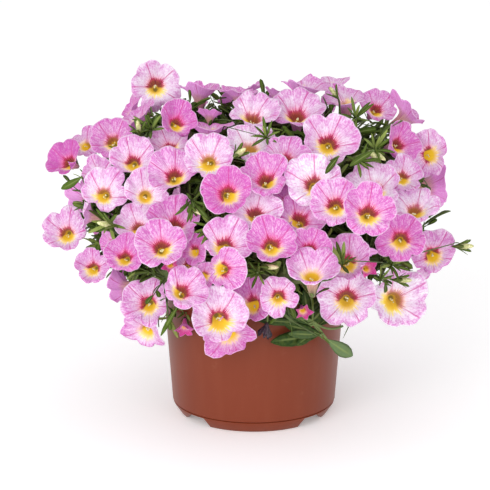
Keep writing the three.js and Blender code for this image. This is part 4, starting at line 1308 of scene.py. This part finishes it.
def in_a_bloom(places, front):
    """Whether each place is in a bloom's limb or tube, or closer than front before its face.
    Depth and distance from the axis are measured along and across the bloom's own axis."""
    offset = places[:, None] - bloom_centre[None]
    ahead = (offset * bloom_face[None]).sum(-1)
    apart = np.linalg.norm(offset - ahead[..., None] * bloom_face[None], axis=-1) / bloom_radius
    cone = limb_depth(np.clip(apart, THROAT[0], 1)) * bloom_radius
    behind = -cone - 0.13 * bloom_radius - CLEAR_BACK
    in_limb = (apart < 1.04) & (ahead > behind) & (ahead < front)
    in_tube = (apart < 0.32) & (ahead < 0) & (ahead > -1.55 * bloom_radius)
    return (in_limb | in_tube).any(1)


def blocked(places):
    """Whether each place is in a bloom or close before it, hides its middle, or is in the pot."""
    seen = seen_at(places)
    covers = np.linalg.norm(seen[:, None] - bloom_seen[None], axis=-1) < HIDES_WITHIN * bloom_radius
    nearer = ((places - SIGHT_EYE) @ SIGHT)[:, None] < bloom_near[None]
    hides = covers & nearer & shows_face[None]
    from_axis = np.hypot(places[:, 0], places[:, 1])
    low = (places[:, 2] < POT_HEIGHT + 2 * MM) & (from_axis < POT_CLEAR)
    in_pot = low & ~((from_axis < SOIL_CLEAR) & (places[:, 2] > SOIL_TOP + MM))
    return in_a_bloom(places, CLEAR_FRONT) | hides.any(1) | in_pot


def some(leaves, chosen):
    """The chosen ones of many leaves."""
    return {key: values[chosen] for key, values in leaves.items()}


def clear(paths):
    """Which of many paths, as (paths, points, 3), are clear at all their points."""
    flat = blocked(paths.reshape(-1, 3))
    return ~flat.reshape(paths.shape[:2]).any(1)


# %% Large leaves

# All of them stay. One that stands in a bloom, hides it or sticks out of the dome is made
# shorter, and once more if that isn't enough.
OUTSIDE = 1.10
SHORTER = 0.64

large = {key: stacked(cad_leaves, key) for key in ("base", "forward", "up", "length", "width")}
size = np.ones(len(cad_leaves))
for _ in range(2):
    reach_out = (large["length"] * size)[:, None] * large["forward"]
    tip, middle = large["base"] + reach_out, large["base"] + 0.6 * reach_out
    dome_size = np.where(tip[:, 2:] > DOME_CENTRE[2], DOME_ABOVE, DOME_BELOW)
    stands_out = np.linalg.norm((tip - DOME_CENTRE) / dome_size, axis=1) > OUTSIDE
    size = np.where(blocked(tip) | blocked(middle) | stands_out, size * SHORTER, size)
large["length"] = large["length"] * size
large["width"] = large["width"] * np.where(size < 1, np.sqrt(size), 1.1)
large["tone_and_shade"] = np.random.default_rng(32).uniform(0.35, 0.80, len(cad_leaves))
leaf_piece("large_leaves", large, leaf, 31, LARGE_BLADE, BRANCHES)
print("shortened", int((size < 1).sum()))

# %% Twigs


def curve(start, middle, end, way):
    """The curve from start to end that is drawn towards the middle, at each way from 0 to 1."""
    way = way[None, :, None]
    return (
        (1 - way) ** 2 * start[:, None] + 2 * way * (1 - way) * middle[:, None] + way ** 2 * end[:, None]
    )


def tubes(paths, radii, columns):
    """Round tubes along paths: circles across the path's own direction at each point."""
    along = unit(np.gradient(paths, axis=1))
    helper = np.where(np.abs(along[:, :1, 2:]) > 0.9, [[[1.0, 0, 0]]], [[[0, 0, 1.0]]])
    side = unit(np.cross(along, helper))
    circle = on_circle(even_turns(columns), side[:, :, None], np.cross(along, side)[:, :, None])
    grid = paths[:, :, None] + radii[..., None, None] * circle
    return many(grid, paths[:, 0], paths[:, -1])


def stalk_piece(name, paths, radii, columns=4):
    """One piece of tubes in the finish of the stalks, with one radius or one at each point."""
    radii = np.broadcast_to(radii, paths.shape[:2])
    return make_piece(name, "leaves", stalk, *tubes(paths, radii, columns))


def twig_paths(count, draw):
    """Twigs from the nearest branch to places near the dome, those that miss the blooms."""
    ends = dome_places(count, draw.uniform(0.55, 0.92, count))
    starts = nearest_branch(ends)
    middle = (starts + ends) / 2 + draw.normal(0, 3 * MM, ends.shape)
    middle[:, 2] += 5 * MM
    paths = curve(starts, middle, ends, np.linspace(0, 1, 6))
    return paths[clear(paths[:, 2:])]


TWIGS_TRIED = 1900
twigs = twig_paths(TWIGS_TRIED, np.random.default_rng(51))
stalk_piece("twigs", twigs, np.linspace(0.75, 0.45, 6) * MM)
print("twigs", len(twigs))

# %% Leaves on the twigs


def twig_leaves(paths, each, draw):
    """Leaves up each twig, every one turned on by the golden angle, leaning forward and out,
    those that miss the blooms."""
    count = len(paths)
    way = np.linspace(0.30, 1.0, each)
    number = way * (paths.shape[1] - 1)
    low = np.minimum(number.astype(int), paths.shape[1] - 2)
    part = (number - low)[None, :, None]
    base = paths[:, low] * (1 - part) + paths[:, low + 1] * part
    along = unit(paths[:, low + 1] - paths[:, low])
    side = unit(np.cross(along, draw.normal(0, 1, (count, 1, 3))))
    out = on_circle(golden_turns(draw, count, each), side, np.cross(along, side))
    lean = draw.uniform(0.5, 1.5, (count, each, 1)) * (1.15 - 0.55 * way[None, :, None])
    forward = unit(along + lean * out)
    up = square_to(forward, along)
    length = draw.uniform(11, 21, (count, each)) * (0.72 + 0.28 * np.sin(math.pi * way)) * MM
    # Painted light and shade: a leaf's tint rises from deep in the dome out to its surface. This comes on
    # top of a random tone and younger leaves towards the twig's end.
    outward = np.linalg.norm((base - DOME_CENTRE) / DOME_ABOVE, axis=-1)
    painted_light_out = np.interp(outward, [0.62, 0.95], [0, 0.42])
    leaves = {
        "base": base.reshape(-1, 3),
        "forward": forward.reshape(-1, 3),
        "up": up.reshape(-1, 3),
        "length": length.ravel(),
        "width": length.ravel() * draw.uniform(0.24, 0.36, length.size),
        "tone_and_shade": (0.55 * draw.uniform(0, 1, length.shape) ** 1.7 + painted_light_out + 0.10 * way ** 2).ravel(),
    }
    steps = np.array([0.35, 0.7, 1.0])[None, :, None]
    reach = (leaves["length"][:, None] * leaves["forward"])[:, None]
    return some(leaves, clear(leaves["base"][:, None] + steps * reach))


LEAVES_A_TWIG = 7
small_leaves = twig_leaves(twigs, LEAVES_A_TWIG, np.random.default_rng(52))
height = small_leaves["base"][:, 2]
low_half = height < np.median(height)
leaf_piece("leaves_low", some(small_leaves, low_half), leaf, 53)
leaf_piece("leaves_high", some(small_leaves, ~low_half), leaf, 54)
print("small leaves", len(height))

# %% [markdown]
# ## Buds, stigmas and anthers
# Down in each open throat sit the stigma and the anthers, as four small cream spindles. Here
# and there a bud stands on its own stalk: a pale spindle in five green sepals. All of them are
# spindles of revolution, so one function makes them.

# %% Spindles


def spindles(foot, axis, length, radius, columns=6):
    """Spindles of revolution: the radius follows the square root of a sine along the axis."""
    way = np.array([0.08, 0.3, 0.6, 0.88])
    side = unit(np.cross(axis, [0.31, 0.17, 0.93]))
    circle = on_circle(even_turns(columns), side[:, None], np.cross(axis, side)[:, None])
    width = radius[:, None] * np.sqrt(np.sin(math.pi * way))
    middle = foot[:, None] + (length[:, None] * way)[..., None] * axis[:, None]
    grid = middle[:, :, None] + width[..., None, None] * circle[:, None]
    return many(grid, foot, foot + length[:, None] * axis)


def throat_parts(blooms, draw):
    """Four spindles in each open throat, scattered near the middle of its width and at about
    half the bloom's depth."""
    old = [bloom for bloom in blooms if not bloom["young"]]
    face, side, other, centre, upper = (
        stacked(old, key)[:, None] for key in ("face", "side", "other", "centre", "upper"))
    radius, low = (stacked(old, key)[:, None, None] for key in ("radius", "low"))
    turn = draw.uniform(0, 6.3, (len(old), 4, 1))
    apart = draw.uniform(0.01, 0.09, (len(old), 4, 1))
    depth = draw.uniform(0.50, 0.62, (len(old), 4, 1))
    foot = centre - (depth * radius) * face - low * radius * upper
    foot = foot + apart * radius * on_circle(turn, side, other)
    axis = np.broadcast_to(face, foot.shape).reshape(-1, 3)
    size = (draw.uniform(0.05, 0.09, (len(old), 4)) * radius[..., 0]).ravel()
    return spindles(foot.reshape(-1, 3), axis, size, 0.5 * size)


def cream_finish(name, low, high):
    """A pale, slightly waxy skin with a fine mottle."""
    finish = Finish(name, {"Roughness": 0.5})
    mottle = finish.noise(finish.place(), 700.0, 2.0)
    finish.set("Base Color", finish.mix(mottle.step(0.35, 0.65), low, high))
    finish.bump(mottle, 0.3, 0.1 * MM)
    return finish.material


anther = cream_finish("anther", (0.62, 0.60, 0.30), (0.85, 0.82, 0.58))
anther_points, anther_faces = throat_parts(blooms, np.random.default_rng(61))
make_piece("anthers", "petals", anther, anther_points, anther_faces)

# %% Buds

# Each bud is [across, up, lean across, lean up]: its place on the plane through the pot's axis
# in millimetres, and how it leans.
BUDS = [
    [4, 96, 1.0, 0.1], [79, 177, 0.9, -0.5], [87, 168, -0.6, 0.7], [58, 212, -0.6, 0.9],
    [96, 87, 1.0, 0.1], [138, 110, 1.0, 0.15], [-79, 187, -0.1, 0.9],
    [-15, 171, 0.5, 0.5], [-96, 124, -0.8, 0.3], [-46, 139, 0.8, -0.5],
]
BEHIND = 40 * MM
STALK_BACK = 26 * MM


def on_dome(across, up, share):
    """The place at the dome's share where a ray from the eye through the plane first meets it."""
    _, ray = ray_through(across, up)
    far = np.linalg.norm(ray)
    places = SIGHT_EYE + unit(ray) * np.linspace(far - 0.2, far + 0.2, 801)[:, None]
    offset = places - DOME_CENTRE
    size = np.where(offset[:, 2:] > 0, DOME_ABOVE, DOME_BELOW)
    reach = np.linalg.norm(offset / size, axis=1)
    inside = np.flatnonzero(reach < share)
    return places[inside[0]] if len(inside) else places[reach.argmin()]


def root_behind(foot):
    """For each foot the branch that is nearest to a place some way behind it."""
    return nearest_branch(foot + BEHIND * unit(foot - SIGHT_EYE))


bud_foot = np.array([on_dome(across, up, 1.0) for across, up, _, _ in BUDS])
bud_axis = unit(np.array([[across, -0.45, up] for _, _, across, up in BUDS]))
bud_long = np.random.default_rng(62).uniform(11, 15, len(BUDS)) * MM
bud_skin = cream_finish("bud", (0.50, 0.52, 0.20), (0.78, 0.74, 0.42))
bud_points, bud_faces = spindles(bud_foot, bud_axis, bud_long, 0.14 * bud_long, 8)
make_piece("buds", "petals", bud_skin, bud_points, bud_faces)

turn = np.radians(72.0 * np.arange(5))[None, :, None]
bud_side = unit(np.cross(bud_axis, [0, 1.0, 0]))[:, None]
bud_out = on_circle(turn, bud_side, np.cross(bud_axis[:, None], bud_side))
bud_forward = unit(bud_axis[:, None] + 0.38 * bud_out)
bud_length = np.repeat(bud_long * 0.95, 5)
leaf_piece("bud_sepals", {
    "base": np.repeat(bud_foot - 0.1 * bud_long[:, None] * bud_axis, 5, 0),
    "forward": bud_forward.reshape(-1, 3),
    "up": -square_to(bud_forward, bud_out).reshape(-1, 3),
    "length": bud_length,
    "width": 0.16 * bud_length + 0.6 * MM,
    "tone_and_shade": np.full(len(bud_length), 0.7),
}, leaf, 63, shape=0.3)

bud_bend = bud_foot + STALK_BACK * unit(2 * unit(bud_foot - SIGHT_EYE) - 0.5 * bud_axis)
bud_paths = curve(root_behind(bud_foot), bud_bend, bud_foot, np.linspace(0, 1, 9))
stalk_piece("bud_stalks", bud_paths, 0.7 * MM)

# %% [markdown]
# ## Leaves that stand in front
# A few leaves and tufts are large and near, so each has its own place. Broad leaves hang from a
# shoot that leaves a branch, goes over the pot's lip and forks. Tufts of small leaves and single
# leaves stand between the blooms, each on a stem from a branch behind it.

# %% Broad leaves over the lip

# Each leaf is its foot and its tip as [across, up, before the pot's axis] in millimetres, its
# width and its tint.
BROAD_LEAVES = [
    [[47, 50, 54], [12, 43, 70], 19, 0.05], [[33, 57, 60], [3, 60, 74], 11, 0.15],
    [[50, 46, 52], [69, 32, 44], 18, 0.56], [[36, 54, 58], [50, 70, 54], 18, 0.02],
    [[46, 49, 56], [24, 50, 70], 12, 0.24], [[38, 56, 60], [20, 68, 66], 12, 0.10],
    [[30, 62, 62], [12, 66, 66], 11, 0.05], [[42, 52, 54], [30, 41, 68], 11, 0.12],
    [[38, 58, 58], [34, 80, 60], 15, 0.02], [[30, 60, 62], [46, 76, 52], 14, 0.06],
    [[47, 49, 56], [22, 57, 68], 15, 0.03], [[44, 55, 54], [57, 66, 46], 12, 0.04],
]

# The shoot that carries them forks before the wall. Each fork is its bend and its end.
LIP_FORK = [40, 59, 58]
LIP_FORKS = [
    [[46, 52, 56], [50, 46, 52]], [[50, 50, 56], [61, 55, 40]], [[42, 54, 58], [47, 47, 54]],
]
LIP_RISE = 20 * MM
LIP_PAST = 6 * MM
LIP_WAY = np.linspace(0, 1, 13)
BROAD_DARK = (0.014, 0.042, 0.004)
BROAD_GREY = (0.125, 0.195, 0.085)


def in_front(place):
    """The place on the sight ray through (across, up) of the plane that lies so far before the
    pot's axis."""
    across, up, before = place
    plane, ray = ray_through(across, up)
    return plane + ray * (-(before * MM) - plane[1]) / ray[1]


def leaves_in_front(rows):
    """The leaves of a list, all but their upper sides."""
    foot, tip = (np.array([in_front(row[k]) for row in rows]) for k in (0, 1))
    return {
        "base": foot,
        "forward": unit(tip - foot),
        "length": np.linalg.norm(tip - foot, axis=1),
        "width": np.array([row[2] for row in rows]) * MM,
        "tone_and_shade": np.array([row[3] for row in rows]),
    }


broad = leaves_in_front(BROAD_LEAVES)
broad_out = unit(np.array([[0.1, -1.0, 0.35]]))
broad["up"] = square_to(broad["forward"], broad_out)
broad_leaf = leaf_finish("broad_leaf", BROAD_DARK, BROAD_GREY)
leaf_piece("broad_leaves", broad, broad_leaf, 71, LARGE_BLADE,
    fold=0.14, shape=0.9, bends=(0.5, 1.3), tip=2.4, point=1.0)


def over_lip(foot):
    """A path from the nearest branch over the lip to a foot before the wall. It is drawn to a
    place above the foot that lies a rise over the lip and a little further out."""
    flat = foot * [1, 1, 0]
    bend = flat + LIP_PAST * unit(flat) + [0, 0, POT_HEIGHT + LIP_RISE]
    return curve(nearest_branch(foot), bend, foot, LIP_WAY)


lip_fork = np.array([in_front(LIP_FORK)])
fork_bend, fork_end = (np.array([in_front(row[k]) for row in LIP_FORKS]) for k in (0, 1))
lip_forks = curve(np.repeat(lip_fork, len(LIP_FORKS), 0), fork_bend, fork_end, LIP_WAY)
leaf_stalk = nearest(lip_forks.reshape(-1, 3), broad["base"])
stalk_bend = (leaf_stalk + broad["base"]) / 2 + 1.5 * MM * broad_out
leaf_stalks = curve(leaf_stalk, stalk_bend, broad["base"] + MM * broad["forward"], LIP_WAY)
stalk_piece("front_stems", np.concatenate([over_lip(lip_fork), lip_forks, leaf_stalks]), 0.8 * MM, 8)
stalk_lengths = np.linalg.norm(leaf_stalk - broad["base"], axis=1)
print("longest leaf stalk", round(stalk_lengths.max() / MM, 1), "mm")

# %% Tufts

# Each tuft is [across, up, share of the dome, leaf length, lean across, lean up].
TUFTS = [
    [60, 99, 1.06, 15, -0.3, 0.9], [89, 88, 1.02, 9, 0.8, 0.3], [2, 92, 1.00, 11, -0.2, 0.2],
    [-42, 140, 1.02, 17, 0.5, -0.6], [-59, 60, 1.0, 14, -0.3, -0.2], [84, 178, 1.0, 15, 0.2, 0.4],
    [-72, 192, 1.0, 15, -0.3, 0.6], [8, 187, 1.0, 13, -0.2, 0.7], [70, 200, 1.0, 15, 0.0, 0.6],
    [-47, 64, 1.02, 9, 0.0, -0.3], [96, 98, 0.98, 12, 0.5, 0.2], [-101, 126, 0.98, 13, -0.3, 0.0],
    [-30, 123, 0.98, 14, -0.3, -0.2], [73, 169, 0.98, 14, 0.5, 0.1],
]
LEAVES_A_TUFT = 11

# Single leaves that show between the blooms, in the form of the broad leaves' list.
SINGLE_LEAVES = [
    [[-119, 158, 20], [-133, 148, 18], 8, 0.50],
    [[82, 176, 78], [65, 166, 84], 7, 0.35], [[-94, 128, 60], [-107, 123, 52], 6, 0.55],
    [[-52, 70, 72], [-66, 48, 74], 5, 0.55], [[-54, 66, 70], [-62, 53, 74], 4, 0.40],
    [[58, 172, 84], [48, 161, 92], 6, 0.30],
]


def tuft_leaves(draw, each):
    """A rosette round each tuft's axis: leaves turned on by the golden angle, the first ones
    flat and long, the last ones upright and short."""
    foot = np.array([on_dome(across, up, share) for across, up, share, _, _, _ in TUFTS])
    axis = unit(np.array([[across, -1.0, 0.3 + up] for _, _, _, _, across, up in TUFTS]))[:, None]
    side = unit(np.cross(axis, [0.2, 0.1, 1.0]))
    turn = golden_turns(draw, len(TUFTS), each)
    out = on_circle(turn, side, np.cross(axis, side))
    flat = np.linspace(1.7, 0.25, each)[None, :, None] * draw.uniform(0.6, 1.3, (*turn.shape[:2], 1))
    forward = unit(axis + flat * out)
    up = square_to(forward, axis)
    length = np.array([row[3] for row in TUFTS])[:, None] * draw.uniform(0.75, 1.25, turn.shape[:2])
    base = np.broadcast_to(foot[:, None], forward.shape)
    return {
        "base": (base - 4 * MM * axis).reshape(-1, 3),
        "forward": forward.reshape(-1, 3),
        "up": up.reshape(-1, 3),
        "length": length.ravel() * MM,
        "width": length.ravel() * MM * draw.uniform(0.20, 0.27, length.size),
        "tone_and_shade": draw.uniform(0.35, 1.0, length.size),
    }, foot


tufts, tuft_foot = tuft_leaves(np.random.default_rng(72), LEAVES_A_TUFT)
tuft_clear = np.ones(len(tufts["base"]), bool)
for way in (0.35, 0.6, 0.8, 1.0):
    along_blade = tufts["base"] + way * tufts["length"][:, None] * tufts["forward"]
    tuft_clear &= ~in_a_bloom(along_blade, 0)
print("tuft leaves", int(tuft_clear.sum()))
leaf_piece(
    "tufts", some(tufts, tuft_clear), leaf, 73, LARGE_BLADE, shape=0.7, tip=2.6, point=0.85)
single = leaves_in_front(SINGLE_LEAVES)
across_sight = unit(np.cross(SIGHT_EYE - single["base"], single["forward"]))
single_up = np.cross(single["forward"], across_sight)
single["up"] = unit(single_up * -np.sign((single_up * SIGHT).sum(-1, keepdims=True)))
leaf_piece("single_leaves", single, leaf, 74, LARGE_BLADE,
    shape=0.7, bends=(0.3, 1.0), tip=2.6, point=0.85)
tuft_foot = np.concatenate([tuft_foot, single["base"]])
tuft_bend = tuft_foot + STALK_BACK * unit(tuft_foot - SIGHT_EYE)
tuft_stems = curve(root_behind(tuft_foot), tuft_bend, tuft_foot, np.linspace(0, 1, 9))
stalk_piece("tuft_stems", tuft_stems, 0.8 * MM, 6)

# %% [markdown]
# ## A wilted flower
# A spent flower hangs over the lip. Its limb has shrunk to a pleated bell that narrows and turns
# dark purple. So it is a bell of revolution with five deep pleats and a ragged hem, closed at
# both ends, on a thin stalk that comes over the lip from a branch.

# %% Wilted flower

WILTED_TOP = [9, 58, 76]
WILTED_HEM = [7, 49, 77]
WILTED_WAY = np.array([0.02, 0.15, 0.35, 0.6, 0.85, 1.0, 0.9, 0.6])
WILTED_WIDTH = np.array([0.5, 1.2, 1.9, 3.4, 5.0, 5.4, 4.0, 2.2]) * MM


def wilted_bell(draw, columns=40):
    """Rows from the stalk to the hem and back inside. The radius is the row's width with five
    pleats that deepen to the hem, and the hem rises and falls by chance."""
    top, hem = in_front(WILTED_TOP), in_front(WILTED_HEM)
    axis = hem - top
    side = unit(np.cross(axis, [0, 1.0, 0]))
    turn = even_turns(columns)
    pleat = 1 - 0.42 * WILTED_WAY[:, None] * np.cos(5 * turn[:, 0]) ** 2
    ragged = 0.16 * WILTED_WAY[:, None] ** 2 * draw.normal(0, 1, columns)
    circle = on_circle(turn, side, unit(np.cross(axis, side)))
    way = (WILTED_WAY[:, None] + ragged)[..., None]
    return (top + way * axis + (WILTED_WIDTH[:, None] * pleat)[..., None] * circle)[None]


wilted = cream_finish("wilted", (0.012, 0.005, 0.011), (0.058, 0.030, 0.046))
bell = wilted_bell(np.random.default_rng(81))
bell_points, bell_faces = many(bell, bell[:, 0].mean(1), bell[:, -1].mean(1))
make_piece("wilted_flower", "petals", wilted, bell_points, bell_faces)
stalk_piece("wilted_stalk", over_lip(np.array([in_front(WILTED_TOP)])), 0.6 * MM, 6)

# %% [markdown]
# ## Floor and light
# The plant stands on a plain pale floor in soft light: a bright surround, one large soft lamp
# from the front left that models the pot, and a weaker one from the right.

# %% Floor, world and lamps

FLOOR_HALF = 6.0
FLOOR_BELOW = 0.3 * MM
floor_mesh = bpy.data.meshes.new("floor")
floor_mesh.from_pydata(
    [(x * FLOOR_HALF, y * FLOOR_HALF, -FLOOR_BELOW) for x, y in [(-1, -1), (1, -1), (1, 1), (-1, 1)]],
    [], [(0, 1, 2, 3)])
floor = add_object("floor", floor_mesh)
paper = Finish("floor", {"Roughness": 0.8, "Emission Strength": 0.22})
paper.set("Emission Color", (1, 1, 1))
paper.set("Base Color", (0.96, 0.96, 0.96))
floor_mesh.materials.append(paper.material)

world = bpy.data.worlds.new("studio")
world.use_nodes = True
world.node_tree.nodes["Background"].inputs["Color"].default_value = (1, 1, 1, 1)
world.node_tree.nodes["Background"].inputs["Strength"].default_value = 0.78
bpy.context.scene.world = world


def lamp(name, place, size, power):
    """A large square lamp that faces the plant."""
    light = bpy.data.lights.new(name, "AREA")
    light.size = size
    light.energy = power
    made = add_object(name, light)
    made.location = place
    made.rotation_euler = (AIM - Vector(place)).to_track_quat("-Z", "Y").to_euler()


lamp("key", (-0.9, -1.95, 0.9), 1.6, 28)
lamp("fill", (1.1, -1.9, 0.40), 1.4, 10)
bpy.context.scene.view_settings.view_transform = "Standard"
